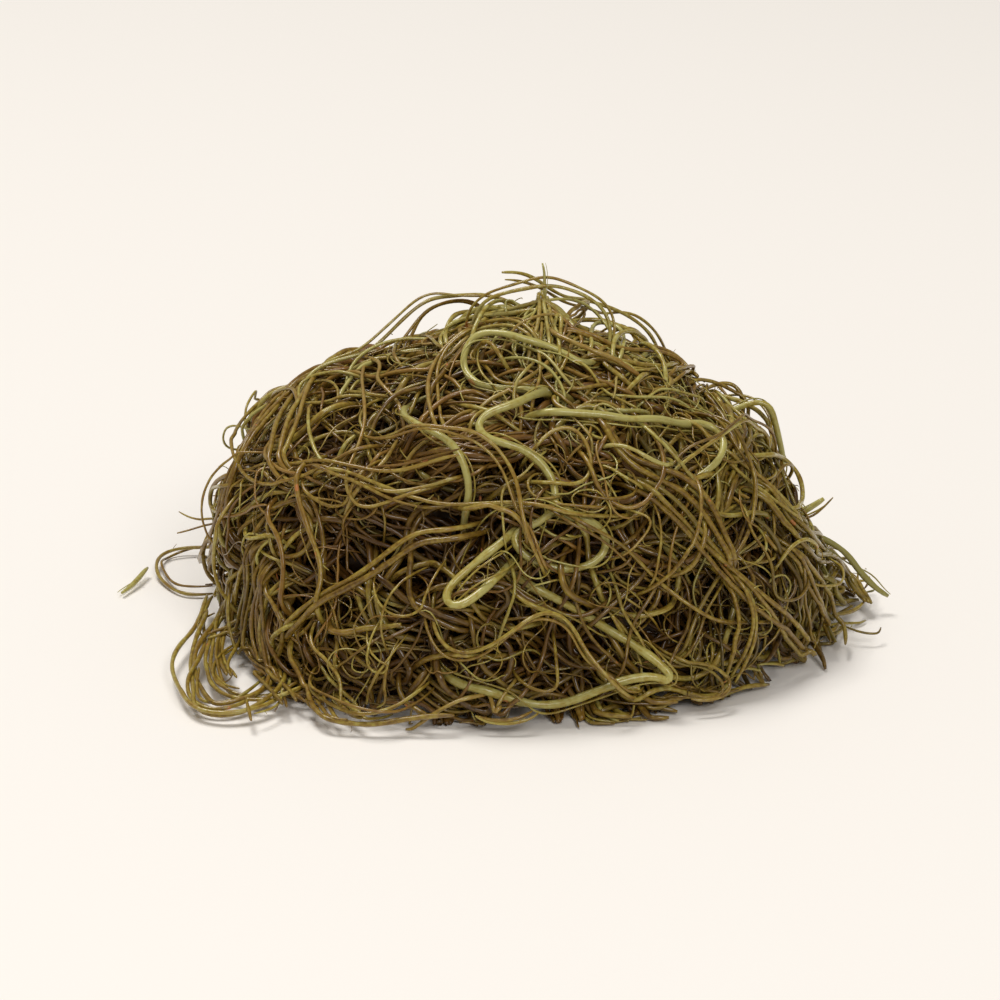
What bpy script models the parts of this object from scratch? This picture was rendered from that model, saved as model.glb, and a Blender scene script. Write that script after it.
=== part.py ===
"""A tangled mound of salted gracilaria, resting on a flat surface.

The mound is a heap of long, round, cord-like seaweed strands. Locks of strands wind over its
steep-sided form, each laid over the ones before it, with dark gaps between them. Their ends
sink into a packed middle, so locks and middle are one solid. The pale, ochre and loose
strands on the outside are solids of their own, each bent clear of what is under it.

Metres, +Z up, the viewer's side towards -Y. The origin is on the resting face, under the
middle of the mound.
"""

import math
import random

import bmesh
import bpy
from mathutils import Matrix, Vector
from mathutils.bvhtree import BVHTree
from mathutils.kdtree import KDTree

# The mound's form: its radius towards each side, at these shares of its height
MOUND_HEIGHT = 0.080
CROWN_SHIFT = 0.006
PROFILE_HEIGHTS = (0.0, 0.15, 0.38, 0.60, 0.75, 0.85, 0.93, 1.0)
PROFILE_RADII = {
    "right": (0.076, 0.074, 0.064, 0.053, 0.036, 0.027, 0.009, 0.001),
    "back": (0.072, 0.071, 0.064, 0.051, 0.035, 0.022, 0.011, 0.001),
    "left": (0.072, 0.074, 0.073, 0.069, 0.051, 0.030, 0.018, 0.001),
    "front": (0.069, 0.071, 0.066, 0.056, 0.044, 0.031, 0.018, 0.001),
}
LOBE_DEPTH = 0.0026
FORM_COLUMNS = 72
FORM_ROWS = 30
BRIM_WIDTH = 0.030
BRIM_HEIGHT = 0.0024
SPILL_REACH = 0.006  # how far past the foot strands may lie, at most
SPILL_LOBES = 6
BELOW_FLOOR = 0.006  # what the floor cut takes off

# The packed middle, ridged by strands that lean round it
CORE_INSET = 0.0150
CORE_COLUMNS = 88
CORE_ROWS = 6
CORE_RIDGE = 0.0022
CORE_TWIST = 0.9

# Locks of strands: how many, strands abreast, length, curl in radians a metre
STRAND_RADIUS = 0.0023
LOCK_KINDS = (
    (14, 3, (0.110, 0.160), (5, 16)),
    (10, 2, (0.100, 0.150), (8, 22)),
    (10, 1, (0.080, 0.130), (16, 36)),
)
LOCK_SEED = 43
LOCK_PULL = 9  # how strongly the flow turns a lock
CANDIDATES = 14
PILE_COST = 3
FOOT_SWIRL = math.radians(50)
STEP = 0.003
RING_STEPS = 3
LAYER = 0.0050
WIDEST = 0.009
MEET_SHARE = 0.9
REST_DEPTH = 0.0104
OUTERMOST_DEPTH = 0.0002
CLIMB = 0.55
SINK_LENGTH = 0.014
SINK_DEPTH = 0.011
END_SHARE = 0.45
FLOOR_LIMIT = 0.012  # a lock that ends lower than this may end free on the floor

# The view in which the loose strands were read, in pixels of a 1000 x 1000 picture
VIEW_ELEVATION = math.radians(20)
VIEW_DISTANCE = 0.865
VIEW_TARGET = Vector((-0.004, 0.0, 0.029))
VIEW_MIDDLE = 500
PIXELS_PER_RADIAN = 3633

# Loose strands on the outside: where their middle lines run in that view
LOOPED_STRAND = (
    (541, 396), (533, 403), (514, 419), (495, 422), (480, 430), (476, 438), (484, 445),
    (503, 449), (522, 451), (533, 457), (545, 465), (552, 476), (558, 488), (558, 501),
    (554, 512), (545, 520), (530, 526), (512, 528), (505, 532), (512, 543), (522, 551),
    (537, 562), (556, 568), (575, 570), (595, 566), (608, 558), (614, 545), (612, 533),
    (602, 522), (593, 518), (577, 516),
)
RIGHT_ARC = (
    (552, 413), (583, 415), (612, 419), (625, 424), (644, 424), (660, 422), (684, 424),
    (698, 422), (713, 430), (723, 442), (723, 453), (717, 465),
)
HAIRPIN = (
    (501, 572), (488, 584), (475, 597), (461, 608), (449, 609), (442, 600), (448, 587),
    (464, 572), (482, 557), (499, 545),
)
BASE_SWEEP = (
    (457, 690), (477, 692), (496, 696), (515, 702), (534, 710), (553, 714), (582, 718),
    (610, 720), (633, 718), (654, 710), (666, 694), (668, 679), (662, 664), (649, 650),
    (630, 639), (610, 629), (588, 618), (565, 604), (545, 593), (526, 585),
)
SWAG = (
    (429, 627), (438, 648), (450, 658), (468, 657), (486, 650), (507, 635), (522, 622),
    (538, 612), (557, 612), (570, 625), (580, 643), (589, 664), (603, 677), (616, 689),
    (632, 694),
)
CROWN_LOOP = (
    (607, 345), (598, 354), (586, 357), (574, 351), (562, 343), (547, 341), (523, 341),
    (502, 339), (482, 340), (470, 347), (462, 360), (464, 371), (474, 378), (490, 381),
    (511, 382), (531, 381), (554, 382),
)
CROWN_ARCH = (
    (472, 314), (494, 303), (523, 297), (549, 293), (570, 295), (590, 299), (605, 309),
    (611, 321), (611, 333),
)
CROWN_THREAD = ((545, 287), (547, 276), (549, 265), (549, 255))
LEFT_ARC = (
    (399, 400), (405, 419), (418, 430), (437, 440), (447, 443), (457, 451), (466, 468),
    (469, 484), (468, 499), (463, 509),
)
RIGHT_SPUR = (
    (744, 406), (759, 400), (771, 402), (774, 415), (777, 434), (783, 451), (784, 466),
    (779, 480),
)
RIGHT_TUFT = ((790, 519), (799, 514), (811, 509), (824, 499), (836, 493))
RIGHT_STRAY = (
    (806, 533), (814, 537), (833, 543), (847, 553), (854, 570), (864, 587), (876, 602),
    (887, 614),
)
LEFT_STRAY = (
    (226, 556), (198, 557), (175, 557), (160, 561), (156, 570), (163, 583), (177, 595),
    (192, 599), (213, 597),
)
LEFT_TAIL = ((148, 577), (140, 585), (131, 592), (122, 598))
FRONT_STRAY = ((316, 717), (332, 725), (353, 735), (374, 737), (396, 735))

# How loose strands lie, and the curly ones that are placed by rule
CLEAR_GAP = 0.0004
LOOSE_STEP = 0.0036
LOOSE_SIDES = 5
LOOSE_END_SHARE = 0.4
LOOSE_RAISE = 0.0005
DROP_DEPTH = 0.0025
DROP_REACH = 0.020
BRIDGE_ROUNDS = 10
BRIDGE_SAG = 0.0002
CURLY_COUNT = 12
CURLY_SEED = 9
CURLY_RADIUS = 0.0013
CURLY_LENGTHS = (0.060, 0.100)
CURLY_CURLS = (40, 90)
CURLY_FIRST = -1.9
CURLY_PULL = 2
GOLDEN_ANGLE = math.pi * (3 - math.sqrt(5))


def clear_scene():
    for obj in list(bpy.data.objects):
        bpy.data.objects.remove(obj)


def new_collection(name, parent=None):
    collection = bpy.data.collections.new(name)
    (parent or bpy.context.scene.collection).children.link(collection)
    return collection


def material(name, colour, roughness):
    made = bpy.data.materials.new(name)
    made.use_nodes = True
    shader = made.node_tree.nodes["Principled BSDF"]
    shader.inputs["Base Color"].default_value = (*colour, 1)
    shader.inputs["Roughness"].default_value = roughness
    shader.inputs["Metallic"].default_value = 0.0
    made.diffuse_color = (*colour, 1)
    return made


def mesh_object(name, mesh, collection):
    data = bpy.data.meshes.new(name)
    mesh.to_mesh(data)
    mesh.free()
    obj = bpy.data.objects.new(name, data)
    collection.objects.link(obj)
    return obj


# The mound's form


def between(knots, values, x):
    """The value at x on the straight lines between the knots."""
    for i in range(len(knots) - 1):
        if x <= knots[i + 1]:
            share = (x - knots[i]) / (knots[i + 1] - knots[i])
            return values[i] + (values[i + 1] - values[i]) * share
    return values[-1]


def form_radius(azimuth, share):
    """Radius of the mound in the direction azimuth, at this share of its height."""
    toward = {
        "right": max(0.0, math.cos(azimuth)) ** 2,
        "left": max(0.0, -math.cos(azimuth)) ** 2,
        "back": max(0.0, math.sin(azimuth)) ** 2,
        "front": max(0.0, -math.sin(azimuth)) ** 2,
    }
    radius = sum(
        weight * between(PROFILE_HEIGHTS, PROFILE_RADII[side], share)
        for side, weight in toward.items()
    )
    lobes = math.sin(3 * azimuth + 1.1 + 4 * share) + 0.7 * math.sin(5 * azimuth - 6 * share)
    return radius + LOBE_DEPTH * lobes * math.sin(math.pi * min(1.0, share + 0.2))


def form_point(azimuth, share, inset=0.0):
    radius = max(0.0005, form_radius(azimuth, share) - inset)
    return Vector(
        (
            radius * math.cos(azimuth) + CROWN_SHIFT * share,
            radius * math.sin(azimuth),
            share * (MOUND_HEIGHT - inset),
        )
    )


def bridge_rings(mesh, rings):
    """Joins the rings of points in order and closes both ends."""
    loops = [[mesh.verts.new(point) for point in ring] for ring in rings]
    for low, high in zip(loops, loops[1:]):
        for i in range(len(low)):
            j = (i + 1) % len(low)
            mesh.faces.new((low[i], low[j], high[j], high[i]))
    mesh.faces.new(reversed(loops[0]))
    mesh.faces.new(loops[-1])
    bmesh.ops.recalc_face_normals(mesh, faces=mesh.faces)


def form_mesh(brim):
    """The mound's outer form down to the floor, with a flat brim round it if brim is true."""
    turns = [2 * math.pi * i / FORM_COLUMNS for i in range(FORM_COLUMNS)]
    rings = []
    if brim:
        wide = 1 + BRIM_WIDTH / PROFILE_RADII["front"][0]
        foot = [form_point(turn, 0.0) for turn in turns]
        rings = [
            [Vector((p.x * wide, p.y * wide, z)) for p in foot]
            for z in (-BELOW_FLOOR, BRIM_HEIGHT)
        ]
    for row in range(1 if brim else 0, FORM_ROWS + 1):
        share = math.sin(0.5 * math.pi * row / FORM_ROWS)
        rings.append([form_point(turn, share) for turn in turns])
    mesh = bmesh.new()
    bridge_rings(mesh, rings)
    return mesh


def core_mesh():
    """The packed middle, from under the floor up."""
    rings = []
    for row in range(-1, CORE_ROWS):
        share = math.sin(0.5 * math.pi * max(0, row) / CORE_ROWS)
        ring = []
        for i in range(CORE_COLUMNS):
            turn = 2 * math.pi * i / CORE_COLUMNS + CORE_TWIST * share
            point = form_point(turn, share, CORE_INSET - CORE_RIDGE * (i % 2))
            ring.append(Vector((point.x, point.y, -BELOW_FLOOR)) if row < 0 else point)
        rings.append(ring)
    mesh = bmesh.new()
    bridge_rings(mesh, rings)
    return mesh


# Walks over the form


def nearest(form, point):
    location, normal, _, _ = form.find_nearest(point)
    return location, normal


class Waves:
    """A smooth random function of length: a few sines of unlike wavelengths."""

    def __init__(self, draw, wavelengths):
        self.parts = [(2 * math.pi / w, draw.uniform(0, 2 * math.pi)) for w in wavelengths]

    def __call__(self, length):
        return sum(math.sin(k * length + phase) for k, phase in self.parts) / len(self.parts)


def flow_direction(point, normal):
    """The way strands tend to lie: down the flanks, across the front, round the foot."""
    down = Vector((0, 0, -1))
    down = down - normal * down.dot(normal)
    if down.length < 0.2:
        down = Vector((point.x - CROWN_SHIFT, point.y, 0)) + Vector((0.001, 0, 0))
        down = down - normal * down.dot(normal)
    down.normalize()
    across = normal.cross(down)
    azimuth = math.atan2(point.y, point.x)
    flank = abs(math.cos(azimuth))
    swirl = math.radians(62 - 38 * flank) * math.sin(2 * azimuth + 90 * point.z)
    near_floor = max(0.0, 1 - point.z / 0.012)
    swirl += (FOOT_SWIRL - swirl) * near_floor
    return math.cos(swirl) * down + math.sin(swirl) * across


def held_in(position):
    """The position, brought back if it is past the spill's reach."""
    azimuth = math.atan2(position.y, position.x)
    uneven = 0.5 + 0.5 * math.sin(SPILL_LOBES * azimuth + 2 * math.sin(2 * azimuth))
    reach = form_radius(azimuth, 0.0) + SPILL_REACH * uneven
    radius = math.hypot(position.x, position.y)
    if radius > reach:
        position.x *= reach / radius
        position.y *= reach / radius
    return position


def wander(form, start, heading, length, curl, pull):
    """A walk over the form from start, as pairs of a surface point and its normal."""
    position, normal = nearest(form, start)
    direction = heading - normal * heading.dot(normal)
    walk = [(position.copy(), normal.copy())]
    for i in range(1, int(length / STEP) + 1):
        flow = flow_direction(position, normal)
        if flow.dot(direction) < 0:
            flow.negate()
        direction = direction.normalized() + flow * pull * STEP
        direction = Matrix.Rotation(curl(i * STEP) * STEP, 3, normal) @ direction
        position, normal = nearest(form, held_in(position + direction.normalized() * STEP))
        direction = direction - normal * direction.dot(normal)
        walk.append((position.copy(), normal.copy()))
    return walk


def crosses_itself(walk, clearance):
    """True if two stretches that are far apart along the walk come close."""
    apart = int(4 * clearance / STEP) + 2
    return any(
        (walk[i][0] - walk[j][0]).length < clearance
        for i in range(0, len(walk), 2)
        for j in range(i + apart, len(walk), 2)
    )


# Locks, laid one over another


class Lock:
    """Strands abreast that follow one walk at depths under the form's surface."""

    def __init__(self, walk, ridges, limits):
        self.ridges = ridges
        self.half_width = ridges * STRAND_RADIUS
        self.surface = [position for position, _ in walk]
        self.normals = [normal for _, normal in walk]
        bare = sum(1 for limit in limits if limit >= REST_DEPTH)
        piled = sum(1 for limit in limits if limit < OUTERMOST_DEPTH)
        self.merit = bare - PILE_COST * piled
        self.depths = self.sunk(self.eased([max(OUTERMOST_DEPTH, d) for d in limits]))
        self.points = [
            self.above_floor(position - normal * depth)
            for (position, normal), depth in zip(walk, self.depths)
        ]

    def eased(self, limits):
        """The limits, eased so that the lock climbs and falls gently over what it crosses."""
        steps = range(len(limits))
        eased = [min(limits[k] + CLIMB * STEP * abs(i - k) for k in steps) for i in steps]
        last = len(limits) - 1
        return [
            (eased[max(0, i - 1)] + eased[i] + eased[min(last, i + 1)]) / 3 for i in steps
        ]

    def sunk(self, depths):
        """The depths, with the ends going into the middle; one end may lie on the floor."""
        last = len(depths) - 1
        free = [self.surface[i].z < FLOOR_LIMIT for i in (0, last)]
        if free[0] and free[1]:
            free[0] = False
        sink_steps = SINK_LENGTH / STEP
        sunk = []
        for i, depth in enumerate(depths):
            from_start = 1.0 if free[0] else min(1.0, i / sink_steps)
            from_end = 1.0 if free[1] else min(1.0, (last - i) / sink_steps)
            share = (1 - from_start) ** 2 + (1 - from_end) ** 2
            sunk.append(depth + (REST_DEPTH + SINK_DEPTH - depth) * share)
        return sunk

    def above_floor(self, point):
        point.z = max(point.z, 1.3 * STRAND_RADIUS)
        return point


class Laid:
    """Every sample of the locks laid so far, to find what a new one crosses."""

    def __init__(self):
        self.samples = []
        self.tree = None

    def add(self, lock):
        for position, depth in zip(lock.surface, lock.depths):
            self.samples.append((position, depth, lock.half_width))
        self.tree = KDTree(len(self.samples))
        for i, (position, _, _) in enumerate(self.samples):
            self.tree.insert(position, i)
        self.tree.balance()

    def limit(self, position, half_width):
        """The greatest depth at which a lock clears what is laid here."""
        limit = REST_DEPTH
        if self.tree:
            for _, index, distance in self.tree.find_range(position, half_width + WIDEST):
                _, depth, other_half_width = self.samples[index]
                if distance < MEET_SHARE * (half_width + other_half_width):
                    limit = min(limit, depth - LAYER)
        return limit


def candidate(form, laid, start, kind, draw):
    """One lock walked both ways from its middle, or None if it crosses itself."""
    _, ridges, lengths, curls = kind
    length = draw.uniform(*lengths)
    curl_size = draw.uniform(*curls)
    curl = Waves(draw, (0.13, 0.071, 0.043))
    turn = draw.uniform(0, 2 * math.pi)
    heading = Vector((math.cos(turn), math.sin(turn), draw.uniform(-1, 1)))
    half = length / 2
    one = wander(form, start, heading, half, lambda s: curl_size * curl(s), LOCK_PULL)
    other = wander(form, start, -heading, half, lambda s: -curl_size * curl(-s), LOCK_PULL)
    walk = other[:0:-1] + one
    half_width = ridges * STRAND_RADIUS
    if crosses_itself(walk, 2.2 * half_width):
        return None
    return Lock(walk, ridges, [laid.limit(position, half_width) for position, _ in walk])


def lay_locks(form):
    """All the locks, each the candidate that covers most bare middle and piles up least."""
    draw = random.Random(LOCK_SEED)
    laid = Laid()
    locks = []
    for kind in LOCK_KINDS:
        for _ in range(kind[0]):
            found = []
            for _ in range(CANDIDATES):
                start = form_point(draw.uniform(0, 2 * math.pi), draw.uniform(0.02, 0.99))
                found.append(candidate(form, laid, start, kind, draw))
            best = max((lock for lock in found if lock), key=lambda lock: lock.merit)
            laid.add(best)
            locks.append(best)
    return locks


# Solids swept along a route


def lock_section(ridges):
    """Outline of a lock across its length: one ridge on top for each strand abreast."""
    half = ridges * STRAND_RADIUS
    outline = [(half, 0.0)]
    for i in range(ridges):
        middle = half - (2 * i + 1) * STRAND_RADIUS
        outline.append((middle, STRAND_RADIUS))
        if i < ridges - 1:
            outline.append((middle - STRAND_RADIUS, 0.2 * STRAND_RADIUS))
    return outline + [(-half, 0.0), (0.0, -STRAND_RADIUS)]


def round_section(radius, sides):
    turns = [2 * math.pi * i / sides for i in range(sides)]
    return [(radius * math.cos(turn), radius * math.sin(turn)) for turn in turns]


def carried_normals(points):
    """A direction square to the route at its start, carried along it without twisting."""
    along = (points[1] - points[0]).normalized()
    carried = [along.orthogonal().normalized()]
    last = len(points) - 1
    for i in range(1, last + 1):
        along = (points[min(i + 1, last)] - points[i - 1]).normalized()
        carried.append((carried[-1] - along * carried[-1].dot(along)).normalized())
    return carried


def sweep(name, points, normals, section, end_share, collection):
    """A closed solid with this section along the points, narrower at its ends."""
    rings = []
    last = len(points) - 1
    for i, point in enumerate(points):
        along = (points[min(i + 1, last)] - points[max(i - 1, 0)]).normalized()
        outward = (normals[i] - along * normals[i].dot(along)).normalized()
        across = along.cross(outward)
        size = end_share + (1 - end_share) * min(1.0, 4 * min(i, last - i) / last)
        rings.append([point + across * u * size + outward * v * size for u, v in section])
    mesh = bmesh.new()
    bridge_rings(mesh, rings)
    return mesh_object(name, mesh, collection)


# Fusing


def bodies_of(mesh):
    """The mesh's separate bodies, each a set of its corners."""
    left = set(mesh.verts)
    bodies = []
    while left:
        body, front = set(), [left.pop()]
        while front:
            vert = front.pop()
            body.add(vert)
            near = {edge.other_vert(vert) for edge in vert.link_edges} & left
            front += near
            left -= near
        bodies.append(body)
    return bodies


def keep_one_body(obj):
    """Drops scraps and sealed hollows: the largest body is left."""
    mesh = bmesh.new()
    mesh.from_mesh(obj.data)
    bodies = bodies_of(mesh)
    largest = max(bodies, key=len)
    scraps = [vert for body in bodies if body is not largest for vert in body]
    bmesh.ops.delete(mesh, geom=scraps, context="VERTS")
    mesh.to_mesh(obj.data)
    mesh.free()


def apply_modifiers(obj):
    graph = bpy.context.evaluated_depsgraph_get()
    mesh = bpy.data.meshes.new_from_object(obj.evaluated_get(graph))
    obj.modifiers.clear()
    obj.data = mesh


def fuse(obj, collection):
    """Unites everything in the collection with obj, then removes the collection's objects."""
    union = obj.modifiers.new("Fuse", "BOOLEAN")
    union.operation = "UNION"
    union.operand_type = "COLLECTION"
    union.collection = collection
    union.solver = "MANIFOLD"
    apply_modifiers(obj)
    for other in list(collection.objects):
        bpy.data.objects.remove(other)


def cut_at_floor(obj, cutters):
    mesh = bmesh.new()
    bmesh.ops.create_cube(mesh, size=1.0, matrix=Matrix.Translation((0, 0, -0.5)))
    cutter = mesh_object("below_floor", mesh, cutters)
    cutter.hide_render = True
    cutter.display_type = "WIRE"
    cut = obj.modifiers.new("Floor", "BOOLEAN")
    cut.operation = "DIFFERENCE"
    cut.object = cutter
    cut.solver = "MANIFOLD"
    apply_modifiers(obj)


def build_mound(form, parts, cutters):
    mound = mesh_object("olive_tangle", core_mesh(), parts)
    pile = new_collection("locks")
    for i, lock in enumerate(lay_locks(form)):
        kept = list(range(0, len(lock.points) - 1, RING_STEPS)) + [len(lock.points) - 1]
        points = [lock.points[k] for k in kept]
        normals = [lock.normals[k] for k in kept]
        sweep(f"lock_{i:02d}", points, normals, lock_section(lock.ridges), END_SHARE, pile)
    bpy.context.view_layer.update()
    fuse(mound, pile)
    cut_at_floor(mound, cutters)
    keep_one_body(mound)
    mound.data.materials.append(material("olive_seaweed", (0.11, 0.085, 0.02), 0.4))
    return mound


# Loose strands


def view_ray(pixel):
    """Where the view's eye is, and its direction through a pixel."""
    tilt = Vector((0, math.cos(VIEW_ELEVATION), -math.sin(VIEW_ELEVATION)))
    rise = Vector((0, math.sin(VIEW_ELEVATION), math.cos(VIEW_ELEVATION)))
    right = Vector((1, 0, 0))
    across = (pixel[0] - VIEW_MIDDLE) / PIXELS_PER_RADIAN
    up = (VIEW_MIDDLE - pixel[1]) / PIXELS_PER_RADIAN
    return VIEW_TARGET - tilt * VIEW_DISTANCE, (tilt + right * across + rise * up).normalized()


def placed(heap, pixel, where):
    """The pixel's point on the heap, or on the upright plane y = 0, or on the floor."""
    eye, direction = view_ray(pixel)
    on_floor = eye - direction * (eye.z / direction.z)
    upright = eye - direction * (eye.y / direction.y)
    hit = heap.ray_cast(eye, direction)[0]
    if where == "floor" or (upright.z < 0 and not hit):
        return on_floor
    return hit if hit and where == "heap" else upright


def resampled(points, step):
    """Points evenly spaced along a smooth curve through the given ones."""
    dense = []
    ends = [2 * points[0] - points[1]] + points + [2 * points[-1] - points[-2]]
    for a, b, c, d in zip(ends, ends[1:], ends[2:], ends[3:]):
        for k in range(8):
            t = k / 8
            dense.append(
                0.5 * ((2 * b) + (c - a) * t + (2 * a - 5 * b + 4 * c - d) * t * t
                       + (3 * b - a - 3 * c + d) * t ** 3)
            )
    dense.append(points[-1])
    lengths = [0.0]
    for a, b in zip(dense, dense[1:]):
        lengths.append(lengths[-1] + (b - a).length)
    count = max(3, round(lengths[-1] / step))
    even = []
    k = 0
    for i in range(count + 1):
        want = lengths[-1] * i / count
        while k < len(dense) - 2 and lengths[k + 1] < want:
            k += 1
        share = (want - lengths[k]) / (lengths[k + 1] - lengths[k])
        even.append(dense[k].lerp(dense[k + 1], share))
    return even


def clearance(obstacles, point, outward):
    """Distance from the point to the nearest obstacle's surface, or less than 0 inside one."""
    least = 1.0
    for tree in obstacles:
        distance = tree.find_nearest(point)[3]
        hit, normal, _, _ = tree.ray_cast(point, outward)
        inside = hit is not None and normal.dot(outward) > 0
        least = min(least, -distance if inside else distance)
    return least


def drop(obstacles, point, outward, radius):
    """How far outward a strand that drops onto the obstacles from outside comes to lie."""
    top = -DROP_DEPTH
    for tree in obstacles:
        _, _, _, distance = tree.ray_cast(point + outward * DROP_REACH, -outward)
        if distance is not None:
            top = max(top, DROP_REACH - distance + radius + CLEAR_GAP)
    return top


def bridged(raises):
    """The raises, with the narrow dips between high points filled."""
    for _ in range(BRIDGE_ROUNDS):
        for i in range(1, len(raises) - 1):
            raises[i] = max(raises[i], 0.5 * (raises[i - 1] + raises[i + 1]) - BRIDGE_SAG)
    return raises


def raised_clear(points, outward, obstacles, radius, raises):
    """The points, moved outward from these raises until the strand clears the obstacles."""
    for _ in range(90):
        placed_points = [p + n * r for p, n, r in zip(points, outward, raises)]
        short = [False] * len(points)
        for i in range(len(points) - 1):
            for share in (0.0, 0.25, 0.5, 0.75, 1.0):
                middle = placed_points[i].lerp(placed_points[i + 1], share)
                if clearance(obstacles, middle, outward[i]) < radius + CLEAR_GAP:
                    short[i] = short[i + 1] = True
        if not any(short):
            break
        for i, is_short in enumerate(short):
            raises[i] += LOOSE_RAISE if is_short else 0.0
        raises = bridged(raises)
    return [p + n * r for p, n, r in zip(points, outward, raises)]


def above_floor(points, radius):
    lowest = radius + CLEAR_GAP
    return [Vector((p.x, p.y, max(p.z, lowest))) for p in points]


def loose_strand(name, points, radius, form, obstacles, parts, look, dropped=True):
    """One round strand along the points, laid clear of the mound and of earlier strands."""
    points = above_floor(resampled(points, LOOSE_STEP), radius)
    outward = [nearest(form, point)[1] for point in points]
    raises = [0.0] * len(points)
    if dropped:
        raises = bridged([drop(obstacles, p, n, radius) for p, n in zip(points, outward)])
    points = above_floor(raised_clear(points, outward, obstacles, radius, raises), radius)
    section = round_section(radius, LOOSE_SIDES)
    strand = sweep(name, points, carried_normals(points), section, LOOSE_END_SHARE, parts)
    strand.data.materials.append(look)
    mesh = bmesh.new()
    mesh.from_mesh(strand.data)
    obstacles.append(BVHTree.FromBMesh(mesh))
    mesh.free()


def curly_route(form, draw, azimuth):
    """A strongly curled walk that starts in this direction and stays off the floor."""
    while True:
        start = form_point(azimuth, draw.uniform(0.15, 0.75))
        curl_size = draw.uniform(*CURLY_CURLS)
        curl = Waves(draw, (0.11, 0.060, 0.038))
        heading = Vector((draw.uniform(-1, 1), draw.uniform(-1, 1), draw.uniform(-1, 1)))
        length = draw.uniform(*CURLY_LENGTHS)
        walk = wander(form, start, heading, length, lambda s: curl_size * curl(s), CURLY_PULL)
        low = any(position.z < FLOOR_LIMIT for position, _ in walk)
        if not low and not crosses_itself(walk, 5 * CURLY_RADIUS):
            return [position for position, _ in walk]


def build_loose_strands(form, mound, parts):
    heap = BVHTree.FromBMesh(form_mesh(False))
    mesh = bmesh.new()
    mesh.from_mesh(mound.data)
    obstacles = [BVHTree.FromBMesh(mesh)]
    mesh.free()
    pale = material("pale_seaweed", (0.36, 0.34, 0.10), 0.4)
    ochre = material("ochre_seaweed", (0.21, 0.12, 0.03), 0.4)
    green = material("green_seaweed", (0.19, 0.17, 0.04), 0.4)

    def lay(name, pixels, radius, look, where="heap"):
        points = [placed(heap, pixel, where) for pixel in pixels]
        on_heap = where == "heap"
        loose_strand(name, points, radius, form, obstacles, parts, look, on_heap)

    lay("looped_strand", LOOPED_STRAND, 0.0015, pale)
    lay("hairpin_strand", HAIRPIN, 0.0015, pale)
    lay("base_sweep", BASE_SWEEP, 0.0016, pale)
    lay("right_arc", RIGHT_ARC, 0.0014, pale)
    lay("left_arc", LEFT_ARC, 0.0014, pale)
    lay("swag", SWAG, 0.0013, ochre)
    lay("crown_loop", CROWN_LOOP, 0.0013, pale)
    lay("crown_arch", CROWN_ARCH, 0.0013, ochre)
    lay("crown_thread", CROWN_THREAD, 0.0006, pale)
    lay("right_spur", RIGHT_SPUR, 0.0012, pale, "beside")
    lay("right_tuft", RIGHT_TUFT, 0.0015, pale, "beside")
    lay("right_stray", RIGHT_STRAY, 0.0013, pale, "beside")
    lay("left_stray", LEFT_STRAY, 0.0013, ochre, "floor")
    lay("left_tail", LEFT_TAIL, 0.0010, pale, "floor")
    lay("front_stray", FRONT_STRAY, 0.0013, ochre, "floor")
    draw = random.Random(CURLY_SEED)
    for i in range(CURLY_COUNT):
        points = curly_route(form, draw, CURLY_FIRST + i * GOLDEN_ANGLE)
        look = (ochre, green)[i % 2]
        loose_strand(f"curly_{i:02d}", points, CURLY_RADIUS, form, obstacles, parts, look)


def count_triangles(obj):
    return sum(len(face.vertices) - 2 for face in obj.data.polygons)


def main():
    clear_scene()
    parts = new_collection("salted_gracilaria")
    cutters = new_collection("cutters")
    form = BVHTree.FromBMesh(form_mesh(True))
    mound = build_mound(form, parts, cutters)
    build_loose_strands(form, mound, parts)
    for obj in parts.objects:
        print(obj.name, count_triangles(obj), "triangles")
    print("all", sum(count_triangles(obj) for obj in parts.objects), "triangles")


main()
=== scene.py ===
# %% [markdown]
# # A heap of salted gracilaria
# Gracilaria is a seaweed of long, round, cord-like strands. Packed in salt and shaken out, it
# lies as a steep heap of tangled locks, wet and shiny, with dark gaps between the strands.
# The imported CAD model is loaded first. It is the fixed frame for everything made here.

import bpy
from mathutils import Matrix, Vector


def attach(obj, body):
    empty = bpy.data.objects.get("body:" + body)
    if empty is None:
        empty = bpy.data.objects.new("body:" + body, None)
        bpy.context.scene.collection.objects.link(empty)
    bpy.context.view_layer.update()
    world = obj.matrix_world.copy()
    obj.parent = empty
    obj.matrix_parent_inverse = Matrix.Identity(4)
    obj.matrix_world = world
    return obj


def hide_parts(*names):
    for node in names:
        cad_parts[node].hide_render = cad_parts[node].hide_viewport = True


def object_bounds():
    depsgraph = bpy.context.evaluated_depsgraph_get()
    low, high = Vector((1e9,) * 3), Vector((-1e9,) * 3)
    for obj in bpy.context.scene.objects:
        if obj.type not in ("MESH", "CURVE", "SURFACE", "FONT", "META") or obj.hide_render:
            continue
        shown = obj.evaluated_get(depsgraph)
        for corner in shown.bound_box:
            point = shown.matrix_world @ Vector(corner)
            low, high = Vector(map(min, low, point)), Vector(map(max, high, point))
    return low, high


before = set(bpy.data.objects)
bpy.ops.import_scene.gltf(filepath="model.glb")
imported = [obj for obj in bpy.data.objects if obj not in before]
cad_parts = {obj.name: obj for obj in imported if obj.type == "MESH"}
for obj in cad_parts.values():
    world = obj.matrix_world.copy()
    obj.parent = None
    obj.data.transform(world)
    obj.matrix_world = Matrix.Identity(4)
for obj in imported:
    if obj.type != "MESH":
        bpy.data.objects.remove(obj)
cad_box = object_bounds()
print(len(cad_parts), "CAD nodes")

# %% Modules and units
import math
import random

import bmesh
import bpy
import numpy as np
from mathutils import Matrix, Vector
from mathutils.bvhtree import BVHTree
from mathutils.kdtree import KDTree

SEED = 5

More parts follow.
